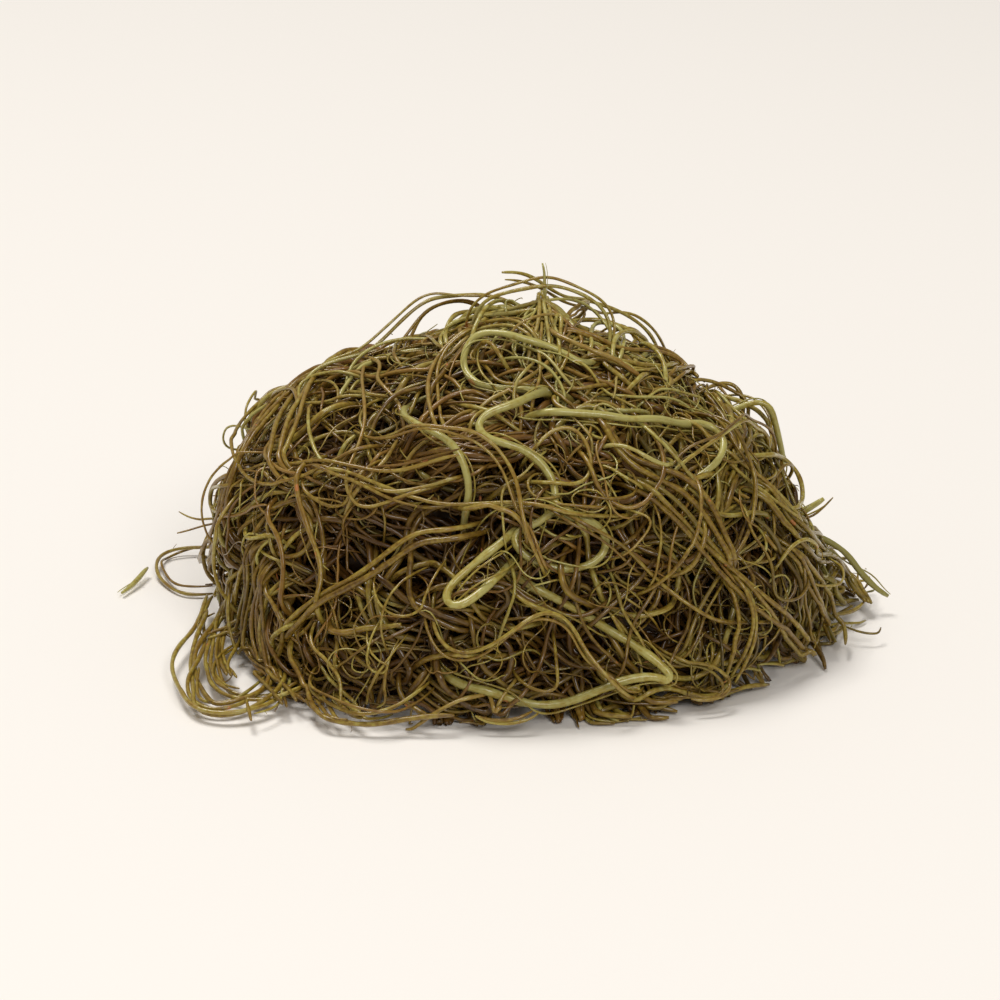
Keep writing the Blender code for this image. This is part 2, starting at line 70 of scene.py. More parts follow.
# %% [markdown]
# ## The camera
# The photograph looks down on the heap by about 20 degrees, from nearly a metre away. A long
# lens keeps the sides of the heap upright, as they are in the photograph.

# %% Camera
VIEW_ELEVATION = math.radians(20)
VIEW_DISTANCE = 0.865
VIEW_TARGET = Vector((-0.004, 0.0, 0.029))
SENSOR_WIDTH = 36
PICTURE_SIDE = 1000
PIXELS_PER_RADIAN = 3633


def add_camera():
    lens = bpy.data.cameras.new("camera")
    lens.sensor_width = SENSOR_WIDTH
    lens.lens = SENSOR_WIDTH * PIXELS_PER_RADIAN / PICTURE_SIDE
    camera = bpy.data.objects.new("camera", lens)
    back = Vector((0, -math.cos(VIEW_ELEVATION), math.sin(VIEW_ELEVATION)))
    camera.location = VIEW_TARGET + back * VIEW_DISTANCE
    camera.rotation_euler = (math.pi / 2 - VIEW_ELEVATION, 0, 0)
    bpy.context.collection.objects.link(camera)
    bpy.context.scene.camera = camera
    return camera


print("lens", round(add_camera().data.lens, 1), "mm")

# %% [markdown]
# ## Shader maths as Python
# Wiring nodes by hand is slow to read. A small class wraps a socket, so that an expression such
# as `1 - mask * 0.5` adds the Math nodes by itself. Every other node comes from one method.

# %% Sockets and nodes
class Socket:
    """A shader socket that can be used in sums."""

    def __init__(self, shader, link):
        self.shader = shader
        self.link = link

    def maths(self, operation, a, b=0.0):
        return self.shader.node("ShaderNodeMath", {"operation": operation}, {0: a, 1: b})

    def __add__(self, other):
        return self.maths("ADD", self, other)

    def __sub__(self, other):
        return self.maths("SUBTRACT", self, other)

    def __rsub__(self, other):
        return self.maths("SUBTRACT", other, self)

    def __mul__(self, other):
        return self.maths("MULTIPLY", self, other)

    def __gt__(self, other):
        return self.maths("GREATER_THAN", self, other)

    __radd__ = __add__
    __rmul__ = __mul__


class Shader:
    """A new material's node tree."""

    def __init__(self, name):
        self.material = bpy.data.materials.new(name)
        self.material.use_nodes = True
        self.tree = self.material.node_tree
        self.surface = self.tree.nodes["Principled BSDF"]

    def plug(self, node, inputs):
        for key, value in inputs.items():
            socket = node.inputs[key]
            if isinstance(value, Socket):
                self.tree.links.new(value.link, socket)
            else:
                socket.default_value = value

    def node(self, kind, settings, inputs, output=0):
        made = self.tree.nodes.new(kind)
        for key, value in settings.items():
            setattr(made, key, value)
        self.plug(made, inputs)
        return Socket(self, made.outputs[output])

    def ramp(self, factor, stops):
        made = self.node("ShaderNodeValToRGB", {}, {0: factor})
        ramp = made.link.node.color_ramp
        for i, (place, colour) in enumerate(stops):
            stop = ramp.elements[i] if i < 2 else ramp.elements.new(place)
            stop.position = place
            stop.color = (*colour, 1)
        return made

    def mix(self, factor, a, b):
        settings = {"data_type": "RGBA"}
        return self.node("ShaderNodeMix", settings, {0: factor, 6: a, 7: b}, 2)

    def finish(self, inputs):
        self.plug(self.surface, inputs)
        return self.material


# %% [markdown]
# ## Floor and light
# A plain warm white floor stands in for a studio table. One large soft light hangs overhead and
# a little behind, which puts a fine bright line along the top of each wet strand. A weaker one
# in front opens up the shadows between strands.

# %% Floor
FLOOR_SIZE = 8.0
FLOOR_COLOUR = (0.93, 0.89, 0.84, 1)


def add_floor():
    mesh = bmesh.new()
    bmesh.ops.create_grid(mesh, x_segments=1, y_segments=1, size=FLOOR_SIZE / 2)
    data = bpy.data.meshes.new("floor")
    mesh.to_mesh(data)
    mesh.free()
    floor = bpy.data.objects.new("floor", data)
    bpy.context.collection.objects.link(floor)
    shader = Shader("floor_paint")
    data.materials.append(shader.finish({"Base Color": FLOOR_COLOUR, "Roughness": 0.6}))
    return floor


add_floor()

# %% Lights
def add_softbox(name, place, size, watts, colour):
    light = bpy.data.lights.new(name, "AREA")
    light.shape = "SQUARE"
    light.size = size
    light.energy = watts
    light.color = colour
    box = bpy.data.objects.new(name, light)
    box.location = place
    box.rotation_mode = "QUATERNION"
    box.rotation_quaternion = (-Vector(place)).to_track_quat("-Z", "Y")
    bpy.context.collection.objects.link(box)


def set_sky(colour, strength):
    world = bpy.data.worlds.new("room")
    world.use_nodes = True
    background = world.node_tree.nodes["Background"]
    background.inputs["Color"].default_value = (*colour, 1)
    background.inputs["Strength"].default_value = strength
    bpy.context.scene.world = world


bpy.context.scene.view_settings.view_transform = "Standard"
add_softbox("overhead_light", (-0.7, 0.5, 2.6), 1.1, 52, (1.0, 0.985, 0.96))
add_softbox("front_light", (0.8, -2.2, 1.9), 1.0, 32, (1.0, 0.99, 0.98))
set_sky((1.0, 0.97, 0.93), 0.25)

# %% [markdown]
# ## The heap's form
# The strands lie on a guide: a lobed, steep-sided mound that is wider at the foot. Its radius is
# given towards four sides at a few heights, the same numbers that the CAD solids use, so that
# the fine strands fill exactly the space that the solids fill. The guide itself is never shown.

# %% Radius of the form
MOUND_HEIGHT = 0.080
CROWN_SHIFT = 0.006
PROFILE_HEIGHTS = (0.0, 0.15, 0.38, 0.60, 0.75, 0.85, 0.93, 1.0)
PROFILE_RADII = {
    "right": (0.076, 0.074, 0.064, 0.053, 0.036, 0.027, 0.009, 0.001),
    "back": (0.072, 0.071, 0.064, 0.051, 0.035, 0.022, 0.011, 0.001),
    "left": (0.072, 0.074, 0.073, 0.069, 0.051, 0.030, 0.018, 0.001),
    "front": (0.069, 0.071, 0.066, 0.056, 0.044, 0.031, 0.018, 0.001),
}
LOBE_DEPTH = 0.0026


def between(knots, values, x):
    """The value at x on the straight lines between the knots."""
    for i in range(len(knots) - 1):
        if x <= knots[i + 1]:
            share = (x - knots[i]) / (knots[i + 1] - knots[i])
            return values[i] + (values[i + 1] - values[i]) * share
    return values[-1]


def form_radius(azimuth, share):
    toward = {
        "right": max(0.0, math.cos(azimuth)) ** 2,
        "left": max(0.0, -math.cos(azimuth)) ** 2,
        "back": max(0.0, math.sin(azimuth)) ** 2,
        "front": max(0.0, -math.sin(azimuth)) ** 2,
    }
    radius = sum(
        weight * between(PROFILE_HEIGHTS, PROFILE_RADII[side], share)
        for side, weight in toward.items()
    )
    lobes = math.sin(3 * azimuth + 1.1 + 4 * share) + 0.7 * math.sin(5 * azimuth - 6 * share)
    return radius + LOBE_DEPTH * lobes * math.sin(math.pi * min(1.0, share + 0.2))


def form_point(azimuth, share, inset=0.0):
    radius = max(0.0005, form_radius(azimuth, share) - inset)
    x = radius * math.cos(azimuth) + CROWN_SHIFT * share
    return Vector((x, radius * math.sin(azimuth), share * (MOUND_HEIGHT - inset)))


print("front foot", round(form_radius(-math.pi / 2, 0) * 1000), "mm from the middle")

# %% [markdown]
# Guide, packed middle and strands are all tubes of one kind: a circle of edges, drawn up ring by
# ring and closed at both ends. Bending such a straight tube is then only a matter of moving its
# corners, ring by ring.

# %% Straight tubes
def straight_tube(rings, sides):
    """A closed straight tube of this many rings, one unit apart."""
    mesh = bmesh.new()
    bmesh.ops.create_circle(mesh, segments=sides, radius=1.0)
    edges = mesh.edges[:]
    for _ in range(rings - 1):
        made = bmesh.ops.extrude_edge_only(mesh, edges=edges)["geom"]
        corners = [part for part in made if isinstance(part, bmesh.types.BMVert)]
        edges = [part for part in made if isinstance(part, bmesh.types.BMEdge) and part.is_boundary]
        bmesh.ops.translate(mesh, verts=corners, vec=(0, 0, 1))
    bmesh.ops.holes_fill(mesh, edges=[edge for edge in mesh.edges if edge.is_boundary])
    for face in mesh.faces:
        face.smooth = True
    return mesh


def ringed_mesh(rings):
    """A tube whose corners lie on these rings of points."""
    sides = len(rings[0])
    mesh = straight_tube(len(rings), sides)
    for vert in mesh.verts:
        turn = math.atan2(vert.co.y, vert.co.x) / (2 * math.pi)
        vert.co = rings[round(vert.co.z)][round(turn * sides) % sides]
    bmesh.ops.recalc_face_normals(mesh, faces=mesh.faces)
    return mesh


# %% [markdown]
# The guide runs from just under the floor up to the crown. A flat brim at its foot lets strands
# spread a little over the floor.

# %% Guide surface
FORM_COLUMNS = 72
FORM_ROWS = 30
BRIM_WIDTH = 0.030
BRIM_HEIGHT = 0.0024
BELOW_FLOOR = 0.006


def guide_rings():
    turns = [2 * math.pi * i / FORM_COLUMNS for i in range(FORM_COLUMNS)]
    wide = 1 + BRIM_WIDTH / PROFILE_RADII["front"][0]
    foot = [form_point(turn, 0.0) for turn in turns]
    rings = [
        [Vector((p.x * wide, p.y * wide, z)) for p in foot] for z in (-BELOW_FLOOR, BRIM_HEIGHT)
    ]
    for row in range(1, FORM_ROWS + 1):
        share = math.sin(0.5 * math.pi * row / FORM_ROWS)
        rings.append([form_point(turn, share) for turn in turns])
    return rings


guide = BVHTree.FromBMesh(ringed_mesh(guide_rings()))
print("guide ready")

# %% [markdown]
# Some places were read in the photograph, in pixels of the picture. The line of sight through a
# pixel meets the guide where that place lies. Beside the heap it meets nothing, or only the brim
# behind the heap, and the point above the floor where it passes nearest to the guide is taken.

# %% From the picture to the heap
SIGHT_DEPTHS = [0.0015 * step for step in range(-48, 13)]
BEHIND = 0.012


def sight(pixel):
    """Where the eye is, and its direction through a pixel of the picture."""
    tilt = Vector((0, math.cos(VIEW_ELEVATION), -math.sin(VIEW_ELEVATION)))
    rise = Vector((0, math.sin(VIEW_ELEVATION), math.cos(VIEW_ELEVATION)))
    across = (pixel[0] - PICTURE_SIDE / 2) / PIXELS_PER_RADIAN
    up = (PICTURE_SIDE / 2 - pixel[1]) / PIXELS_PER_RADIAN
    return VIEW_TARGET - tilt * VIEW_DISTANCE, tilt + Vector((across, 0, 0)) + rise * up


def nearest(point):
    location, normal, _, _ = guide.find_nearest(point)
    return location, normal


def on_heap(pixel):
    """The place on or beside the guide that shows at this pixel."""
    eye, way = sight(pixel)
    place = guide.ray_cast(eye, way)[0]
    if place and place.y < BEHIND:
        return place
    passed = [eye + way * ((depth - eye.y) / way.y) for depth in SIGHT_DEPTHS]
    above = [point for point in passed if point.z > 0]
    return min(above, key=lambda point: (nearest(point)[0] - point).length)


print("the apex of the photograph is at", [round(v, 3) for v in on_heap((545, 300))])

# %% [markdown]
# Between the locks the real heap has deep, dark hollows, with only a few thin strands across
# them. Those in front were read in the photograph. More are scattered over the sides and back.

# %% Hollows
HOLLOW_PIXELS = (
    (342, 478), (388, 420), (525, 438), (570, 462), (600, 548), (668, 520), (356, 545),
    (460, 520), (420, 650), (560, 655), (300, 600), (668, 442), (720, 590), (500, 610),
)
HOLLOW_WIDTHS = (0.006, 0.010)
HOLLOW_DEPTH = 0.0075
MORE_HOLLOWS = 22


def find_hollows(draw):
    hollows = [(on_heap(pixel), draw.uniform(*HOLLOW_WIDTHS)) for pixel in HOLLOW_PIXELS]
    for _ in range(MORE_HOLLOWS):
        azimuth = draw.uniform(-0.15 * math.pi, 1.15 * math.pi)
        place = form_point(azimuth, draw.uniform(0.15, 0.9))
        hollows.append((place, draw.uniform(*HOLLOW_WIDTHS)))
    return hollows


hollows = find_hollows(random.Random(SEED + 1))


def hollow_depth(line):
    """How much deeper strands lie at each point of the line because of the hollows."""
    depth = np.zeros(len(line))
    for place, width in hollows:
        near = ((line - np.array(place)) ** 2).sum(axis=1)
        depth = np.maximum(depth, HOLLOW_DEPTH * np.exp(-near / (width * width)))
    return depth


print(len(hollows), "hollows")

# %% [markdown]
# ## How a strand wanders
# A strand tends to run down the flanks and round the foot, but it curls as it goes. A walk over
# the guide takes small steps: each step turns the heading a little towards the flow and a
# little by a smooth random wave. Single strands turn back up where they come near the floor.

# %% Waves and flow
STEP = 0.003
FLOOR_LIMIT = 0.012
FOOT_SWIRL = math.radians(50)


class Waves:
    """A smooth random function of length: a few sines of unlike wavelengths."""

    def __init__(self, draw, wavelengths):
        self.parts = [(2 * math.pi / w, draw.uniform(0, 2 * math.pi)) for w in wavelengths]

    def __call__(self, length):
        return sum(np.sin(k * length + phase) for k, phase in self.parts) / len(self.parts)


def flow_direction(point, normal):
    """The way strands tend to lie: down the flanks, across the front, round the foot."""
    down = Vector((0, 0, -1))
    down = down - normal * down.dot(normal)
    if down.length < 0.2:
        down = Vector((point.x - CROWN_SHIFT, point.y, 0)) + Vector((0.001, 0, 0))
        down = down - normal * down.dot(normal)
    down.normalize()
    across = normal.cross(down)
    azimuth = math.atan2(point.y, point.x)
    flank = abs(math.cos(azimuth))
    swirl = math.radians(62 - 38 * flank) * math.sin(2 * azimuth + 90 * point.z)
    near_floor = max(0.0, 1 - point.z / 0.012)
    swirl += (FOOT_SWIRL - swirl) * near_floor
    return math.cos(swirl) * down + math.sin(swirl) * across


# %% Walks
SPILL_REACH = 0.006
SPILL_LOBES = 6


def held_in(position):
    """The position, brought back if it is past the reach of strands on the floor."""
    azimuth = math.atan2(position.y, position.x)
    uneven = 0.5 + 0.5 * math.sin(SPILL_LOBES * azimuth + 2 * math.sin(2 * azimuth))
    reach = form_radius(azimuth, 0.0) + SPILL_REACH * uneven
    radius = math.hypot(position.x, position.y)
    if radius > reach:
        position.x *= reach / radius
        position.y *= reach / radius
    return position


def wander(start, heading, length, curl, pull, step=STEP, turn_back=0.0):
    """A walk over the guide from start, as pairs of a surface point and its normal."""
    position, normal = nearest(start)
    direction = heading - normal * heading.dot(normal)
    walk = [(position.copy(), normal.copy())]
    for i in range(1, int(length / step) + 1):
        flow = flow_direction(position, normal)
        if flow.dot(direction) < 0:
            flow.negate()
        direction = direction.normalized() + flow * pull * step
        direction = Matrix.Rotation(curl(i * step) * step, 3, normal) @ direction
        if turn_back and position.z < FLOOR_LIMIT:
            inward = Vector((-position.x, -position.y, 0)).normalized() + Vector((0, 0, 1))
            direction += inward * turn_back * step * (1 - position.z / FLOOR_LIMIT)
        position, normal = nearest(held_in(position + direction.normalized() * step))
        direction = direction - normal * direction.dot(normal)
        walk.append((position.copy(), normal.copy()))
    return walk


# %% [markdown]
# ## Locks
# Strands stick together side by side in locks. Each lock is laid over the ones before it, at a
# depth that clears them, so the heap has real layers. The numbers and the seed are those of the
# CAD solids, so every lock of fine strands lies where its solid lies.

# %% Lock numbers
STRAND_RADIUS = 0.0023
LOCK_KINDS = (
    (14, 3, (0.110, 0.160), (5, 16)),
    (10, 2, (0.100, 0.150), (8, 22)),
    (10, 1, (0.080, 0.130), (16, 36)),
)
LOCK_SEED = 43
LOCK_PULL = 9
CANDIDATES = 14
PILE_COST = 3
LAYER = 0.0050
WIDEST = 0.009
MEET_SHARE = 0.9
REST_DEPTH = 0.0104
OUTERMOST_DEPTH = 0.0002
CLIMB = 0.55
SINK_LENGTH = 0.014
SINK_DEPTH = 0.011


class Lock:
    """Strands abreast that follow one walk at depths under the guide."""

    def __init__(self, walk, ridges, limits):
        self.ridges = ridges
        self.half_width = ridges * STRAND_RADIUS
        self.surface = [position for position, _ in walk]
        self.normals = [normal for _, normal in walk]
        bare = sum(1 for limit in limits if limit >= REST_DEPTH)
        piled = sum(1 for limit in limits if limit < OUTERMOST_DEPTH)
        self.merit = bare - PILE_COST * piled
        self.depths = self.sunk(self.eased([max(OUTERMOST_DEPTH, d) for d in limits]))
        self.points = []
        for (position, normal), depth in zip(walk, self.depths):
            point = position - normal * depth
            point.z = max(point.z, 1.3 * STRAND_RADIUS)
            self.points.append(point)

    def eased(self, limits):
        """The limits, eased so that the lock climbs and falls gently over what it crosses."""
        steps = range(len(limits))
        eased = [min(limits[k] + CLIMB * STEP * abs(i - k) for k in steps) for i in steps]
        last = len(limits) - 1
        return [(eased[max(0, i - 1)] + eased[i] + eased[min(last, i + 1)]) / 3 for i in steps]

    def sunk(self, depths):
        """The depths, with the ends going into the middle; one end may lie on the floor."""
        last = len(depths) - 1
        free = [self.surface[i].z < FLOOR_LIMIT for i in (0, last)]
        if free[0] and free[1]:
            free[0] = False
        sink_steps = SINK_LENGTH / STEP
        sunk = []
        for i, depth in enumerate(depths):
            from_start = 1.0 if free[0] else min(1.0, i / sink_steps)
            from_end = 1.0 if free[1] else min(1.0, (last - i) / sink_steps)
            share = (1 - from_start) ** 2 + (1 - from_end) ** 2
            sunk.append(depth + (REST_DEPTH + SINK_DEPTH - depth) * share)
        return sunk


# %% Laying the locks
class Laid:
    """Every sample of the locks laid so far, to find what a new one crosses."""

    def __init__(self):
        self.samples = []
        self.tree = None

    def add(self, lock):
        for position, depth in zip(lock.surface, lock.depths):
            self.samples.append((position, depth, lock.half_width))
        self.tree = KDTree(len(self.samples))
        for i, (position, _, _) in enumerate(self.samples):
            self.tree.insert(position, i)
        self.tree.balance()

    def limit(self, position, half_width):
        """The greatest depth at which a lock clears what is laid here."""
        limit = REST_DEPTH
        if self.tree:
            for _, index, distance in self.tree.find_range(position, half_width + WIDEST):
                _, depth, other_half_width = self.samples[index]
                if distance < MEET_SHARE * (half_width + other_half_width):
                    limit = min(limit, depth - LAYER)
        return limit


def crosses_itself(walk, clearance):
    apart = int(4 * clearance / STEP) + 2
    return any(
        (walk[i][0] - walk[j][0]).length < clearance
        for i in range(0, len(walk), 2)
        for j in range(i + apart, len(walk), 2)
    )


def candidate(laid, start, kind, draw):
    """One lock walked both ways from its middle, or None if it crosses itself."""
    _, ridges, lengths, curls = kind
    length = draw.uniform(*lengths)
    curl_size = draw.uniform(*curls)
    curl = Waves(draw, (0.13, 0.071, 0.043))
    turn = draw.uniform(0, 2 * math.pi)
    heading = Vector((math.cos(turn), math.sin(turn), draw.uniform(-1, 1)))
    half = length / 2
    one = wander(start, heading, half, lambda s: curl_size * curl(s), LOCK_PULL)
    other = wander(start, -heading, half, lambda s: -curl_size * curl(-s), LOCK_PULL)
    walk = other[:0:-1] + one
    half_width = ridges * STRAND_RADIUS
    if crosses_itself(walk, 2.2 * half_width):
        return None
    return Lock(walk, ridges, [laid.limit(position, half_width) for position, _ in walk])


def lay_locks():
    """All the locks, each the candidate that covers most bare middle and piles up least."""
    draw = random.Random(LOCK_SEED)
    laid = Laid()
    locks = []
    for kind in LOCK_KINDS:
        for _ in range(kind[0]):
            found = []
            for _ in range(CANDIDATES):
                start = form_point(draw.uniform(0, 2 * math.pi), draw.uniform(0.02, 0.99))
                found.append(candidate(laid, start, kind, draw))
            best = max((lock for lock in found if lock), key=lambda lock: lock.merit)
            laid.add(best)
            locks.append(best)
    return locks


locks = lay_locks()
print(len(locks), "locks")

# %% [markdown]
# ## Strands
# A strand is kept as plain numbers until all of them lie well: the points of its middle line,
# its radius, its tint and how firmly it is held. The points are spaced evenly, which helps the
# next steps.

# %% Strand
class Strand:
    """One strand: middle line, radius, tint 0 to 1, ochre 0 to 1, and the piece it is for."""

    def __init__(self, line, radius, tint, ochre, piece, sides=6, hold=0.0):
        self.line = line
        self.radius = radius
        self.tint = tint
        self.ochre = ochre
        self.piece = piece
        self.sides = sides
        self.hold = hold


def even_line(line, spacing):
    """The line with its points evenly spaced."""
    line = np.array(line, float)
    length = np.concatenate([[0], np.cumsum(np.linalg.norm(np.diff(line, axis=0), axis=1))])
    wanted = np.linspace(0, length[-1], max(4, round(length[-1] / spacing) + 1))
    return np.stack([np.interp(wanted, length, line[:, axis]) for axis in range(3)], axis=1)


strands = []

# %% [markdown]
# The heap is not the same all over. Towards the crown and the two sides the strands are made
# paler, as painted light, and towards the right and the foot they are greener. Strands that
# would run on over the floor are cut short, as the real ones end soon after they touch it.

# %% Shade by place, and ends on the floor
# Painted light: how much paler the crown and the sides are made.
CROWN_PAINTED_LIGHT = 0.30
SIDES_PAINTED_LIGHT = 0.12
GREENEST = 0.55
FLOOR_RUN = (0.002, 0.012)
FLOOR_HEIGHT = 0.0045
FLOOR_SPILL = 0.0015


def shaded(line, tint, ochre):
    """The tint and ochre of a strand for the place where it lies; its paler crown and sides are painted
    light.
    """
    x, _, z = np.mean(line, axis=0)
    # Painted light: paler towards the crown and the sides, a little darker elsewhere.
    painted_light = CROWN_PAINTED_LIGHT * np.clip((z - 0.040) / 0.035, 0, 1) - 0.04
    painted_light += SIDES_PAINTED_LIGHT * np.clip((abs(x) - 0.050) / 0.030, 0, 1)
    greener = GREENEST * np.clip(0.5 + x / 0.12 - z / 0.10, 0, 1)
    return float(np.clip(tint + painted_light, 0, 1)), float(ochre - greener)


def cut_on_floor(line, draw):
    """The line without what runs on over the floor outside the heap, or None if little is left."""
    azimuth = np.arctan2(line[:, 1], line[:, 0])
    foot = np.array([form_radius(turn, 0.0) for turn in azimuth])
    spilt = (np.hypot(line[:, 0], line[:, 1]) > foot + FLOOR_SPILL) & (line[:, 2] < FLOOR_HEIGHT)
    if not spilt.any():
        return line
    step = float(np.linalg.norm(np.diff(line, axis=0), axis=1).mean())
    run = int(draw.uniform(*FLOOR_RUN) / step)
    on_heap_now = np.nonzero(~spilt)[0]
    if len(on_heap_now) < 6:
        return None
    breaks = np.nonzero(np.diff(on_heap_now) > run)[0]
    stretches = np.split(on_heap_now, breaks + 1)
    longest = max(stretches, key=len)
    first, last = max(0, longest[0] - run), min(len(line), longest[-1] + 1 + run)
    return line[first:last] if last - first > 6 else None


# %% [markdown]
# Each lock is split into its fine strands. A strand has its own place across the lock, sways
# slowly from it, starts and stops at its own point, and its tip bends away from the others.

# %% Strands of the locks
SPACING = 0.0026
LOCK_STRANDS_PER_RIDGE = 7
LOCK_STRAND_RADII = (0.00030, 0.00078)
SWAYS = (0.002, 0.0095)
HEAVE = 0.0015
INSET = 0.0006
FRAY_LENGTH = 0.022
FRAY = 0.009
TUCK = 0.005


def unit(vectors):
    return vectors / np.maximum(np.linalg.norm(vectors, axis=-1, keepdims=True), 1e-12)


def split_lock(lock, number, draw):
    line = np.array(lock.points)
    outward = np.array(lock.normals)
    along = unit(np.gradient(line, axis=0))
    across = unit(np.cross(along, outward))
    length = STEP * np.arange(len(line))
    lock_tint = draw.uniform(0.12, 0.68)
    lock_ochre = draw.uniform(0, 0.75) ** 2
    line = line - outward * hollow_depth(np.array(lock.surface))[:, None]
    count = LOCK_STRANDS_PER_RIDGE * lock.ridges
    for k in range(count):
        first = int(draw.uniform(0, 0.2) * len(line))
        last = len(line) - int(draw.uniform(0, 0.2) * len(line))
        place = (k + draw.uniform(0, 1)) / count * 2 - 1
        sway = Waves(draw, (0.09, 0.052, 0.031))
        heave = Waves(draw, (0.07, 0.037, 0.019))
        side = place * lock.half_width + draw.uniform(*SWAYS) * sway(length)
        rise = draw.uniform(-1, 0.7) * STRAND_RADIUS * 0.8 + HEAVE * heave(length) - INSET
        for end, sign in ((first, 1), (last, -1)):
            near = np.clip(1 - sign * (length - STEP * end) / FRAY_LENGTH, 0, 1) ** 2
            side = side + near * draw.uniform(-1, 1) * FRAY
            rise = rise - near * draw.uniform(0.1, 1) * TUCK
        path = line + across * side[:, None] + outward * rise[:, None]
        radius = between((0, 1), LOCK_STRAND_RADII, draw.random() ** 1.4)
        tint = lock_tint + draw.uniform(-0.25, 0.25)
        ochre = lock_ochre + draw.uniform(0, 0.3) ** 2
        path = cut_on_floor(path[first:last], draw)
        if path is None:
            continue
        tint, ochre = shaded(path, tint, ochre)
        piece = f"lock_strands_{number}"
        strands.append(Strand(even_line(path, SPACING), radius, tint, ochre, piece, 5 + (radius > 0.0005)))


LOCK_PIECES = 4
draw = random.Random(SEED)
for i, lock in enumerate(locks):
    split_lock(lock, i * LOCK_PIECES // len(locks), draw)
print(len(strands), "strands in the locks")

# %% [markdown]
# Between and under the locks there are single strands. The inner ones lie deep and fill the
# dark gaps. The roving ones cross over the locks in wider curls, and dive back in at their
# ends. The thin threads curl tightly on the outside.

# %% Single strands
SINGLE_KINDS = {
    # The inner strands' dark tints are partly their own brown and partly painted shade of the gaps.
    "inner_strands": dict(
        count=240, length=(0.09, 0.16), curl=(30, 160), depth=(0.0070, 0.0125), heave=0.0018,
        radius=(0.00045, 0.0008), tint=(0.0, 0.35), dive=0.0, step=0.003, sides=5, pull=3, sag=1.0,
    ),
    "roving_strands": dict(
        count=250, length=(0.06, 0.15), curl=(60, 280), depth=(-0.0004, 0.0055), heave=0.0024,
        radius=(0.00032, 0.00082), tint=(0.1, 0.85), dive=0.007, step=0.0021, sides=6, pull=1,
        sag=0.8,
    ),
    "curled_threads": dict(
        count=480, length=(0.020, 0.065), curl=(160, 640), depth=(-0.0008, 0.0036), heave=0.0026,
        radius=(0.00018, 0.00036), tint=(0.3, 0.95), dive=0.005, step=0.0012, sides=4, pull=0,
        sag=0.7,
    ),
}
ARCHES = 100
ARCH_LENGTHS = (0.016, 0.044)
ARCH_HEIGHTS = (0.0018, 0.0052)
ARCH_HOLD = 0.3
DIVE_LENGTH = 0.012
TURN_BACK = 160  # radians a metre, at the floor


def single_strand(piece, kind, draw):
    start = form_point(draw.uniform(0, 2 * math.pi), draw.uniform(0.0, 1.0) ** 0.8 * 0.99)
    heading = Vector((draw.uniform(-1, 1), draw.uniform(-1, 1), draw.uniform(-1, 1)))
    curl_size = draw.uniform(*kind["curl"])
    curl = Waves(draw, (0.08, 0.046, 0.027, 0.016))
    bend = draw.uniform(-0.4, 0.4)
    length = draw.uniform(*kind["length"])
    walk = wander(
        start, heading, length, lambda s: curl_size * (curl(s) + bend), kind["pull"], kind["step"],
        TURN_BACK,
    )
    line = np.array([position for position, _ in walk])
    outward = np.array([normal for _, normal in walk])
    place = kind["step"] * np.arange(len(line))
    depth = draw.uniform(*kind["depth"]) + kind["heave"] * Waves(draw, (0.06, 0.034, 0.019))(place)
    for distance in (place, place[-1] - place):
        near = np.clip(1 - distance / DIVE_LENGTH, 0, 1) ** 2
        depth = depth + near * kind["dive"] * (draw.uniform(0.5, 1) if draw.random() < 0.8 else -0.3)
    depth = depth + hollow_depth(line) * kind["sag"]
    path = line - outward * depth[:, None]
    path = cut_on_floor(path, draw)
    if path is None:
        return
    radius = between((0, 1), kind["radius"], draw.random() ** 1.6)
    tint, ochre = shaded(path, draw.uniform(*kind["tint"]), draw.random() ** 3)
    spaced = even_line(path, kind["step"] * 0.98)
    strands.append(Strand(spaced, radius, tint, ochre, piece, kind["sides"]))


ROVING_PIECES = 2
for piece, kind in SINGLE_KINDS.items():
    for i in range(kind["count"]):
        name = f"{piece}_{i % ROVING_PIECES}" if piece == "roving_strands" else piece
        single_strand(name, kind, draw)
print(len(strands), "strands with the single ones")


# %% [markdown]
# Along the outline of the real heap many strands stand off in low open arches. Each starts and
# ends inside the heap and rises clear of it in between.

# %% Arches
def add_arch(draw):
    start = form_point(draw.uniform(0, 2 * math.pi), draw.uniform(0.1, 1.0))
    heading = Vector((draw.uniform(-1, 1), draw.uniform(-1, 1), draw.uniform(-1, 1)))
    bend = draw.uniform(-90, 90)
    walk = wander(start, heading, draw.uniform(*ARCH_LENGTHS), lambda s: bend, 0, 0.0016)
    line = np.array([position for position, _ in walk])
    outward = np.array([normal for _, normal in walk])
    share = np.linspace(0, 1, len(line))
    rise = np.sin(math.pi * share) ** 0.8 * draw.uniform(*ARCH_HEIGHTS) * 2 - ARCH_HEIGHTS[1]
    lean = draw.uniform(-0.003, 0.003) * np.sin(2 * math.pi * share)
    across = unit(np.cross(unit(np.gradient(line, axis=0)), outward))
    path = line + outward * rise[:, None] + across * lean[:, None]
    radius = draw.uniform(0.00028, 0.00062)
    tint, ochre = shaded(path, draw.uniform(0.4, 0.9), draw.random() ** 3)
    strands.append(Strand(path, radius, tint, ochre, "arching_strands", 6, ARCH_HOLD))


for _ in range(ARCHES):
    add_arch(draw)
print(len(strands), "strands with the arches")

# %% [markdown]
# ## The loose strands of the CAD model
# The palest and loosest strands are solids of their own. Each is a slim five-sided tube, so its
# middle line can be read back: start from the ring of corners at one end, and step from ring
# to ring along the edges. The fine strand then follows exactly the line of its solid.

# %% Middle lines of slim solids
RING_CORNERS = 5


def spread(mesh, start):
    """The corners in the order in which steps along edges reach them, as a list of fronts."""
    seen = set(start)
    fronts = [list(start)]
    while fronts[-1]:
        front = []
        for vert in fronts[-1]:
            for edge in vert.link_edges:
                other = edge.other_vert(vert)
                if other not in seen:
                    seen.add(other)
                    front.append(other)
        fronts.append(front)
    return fronts[:-1]


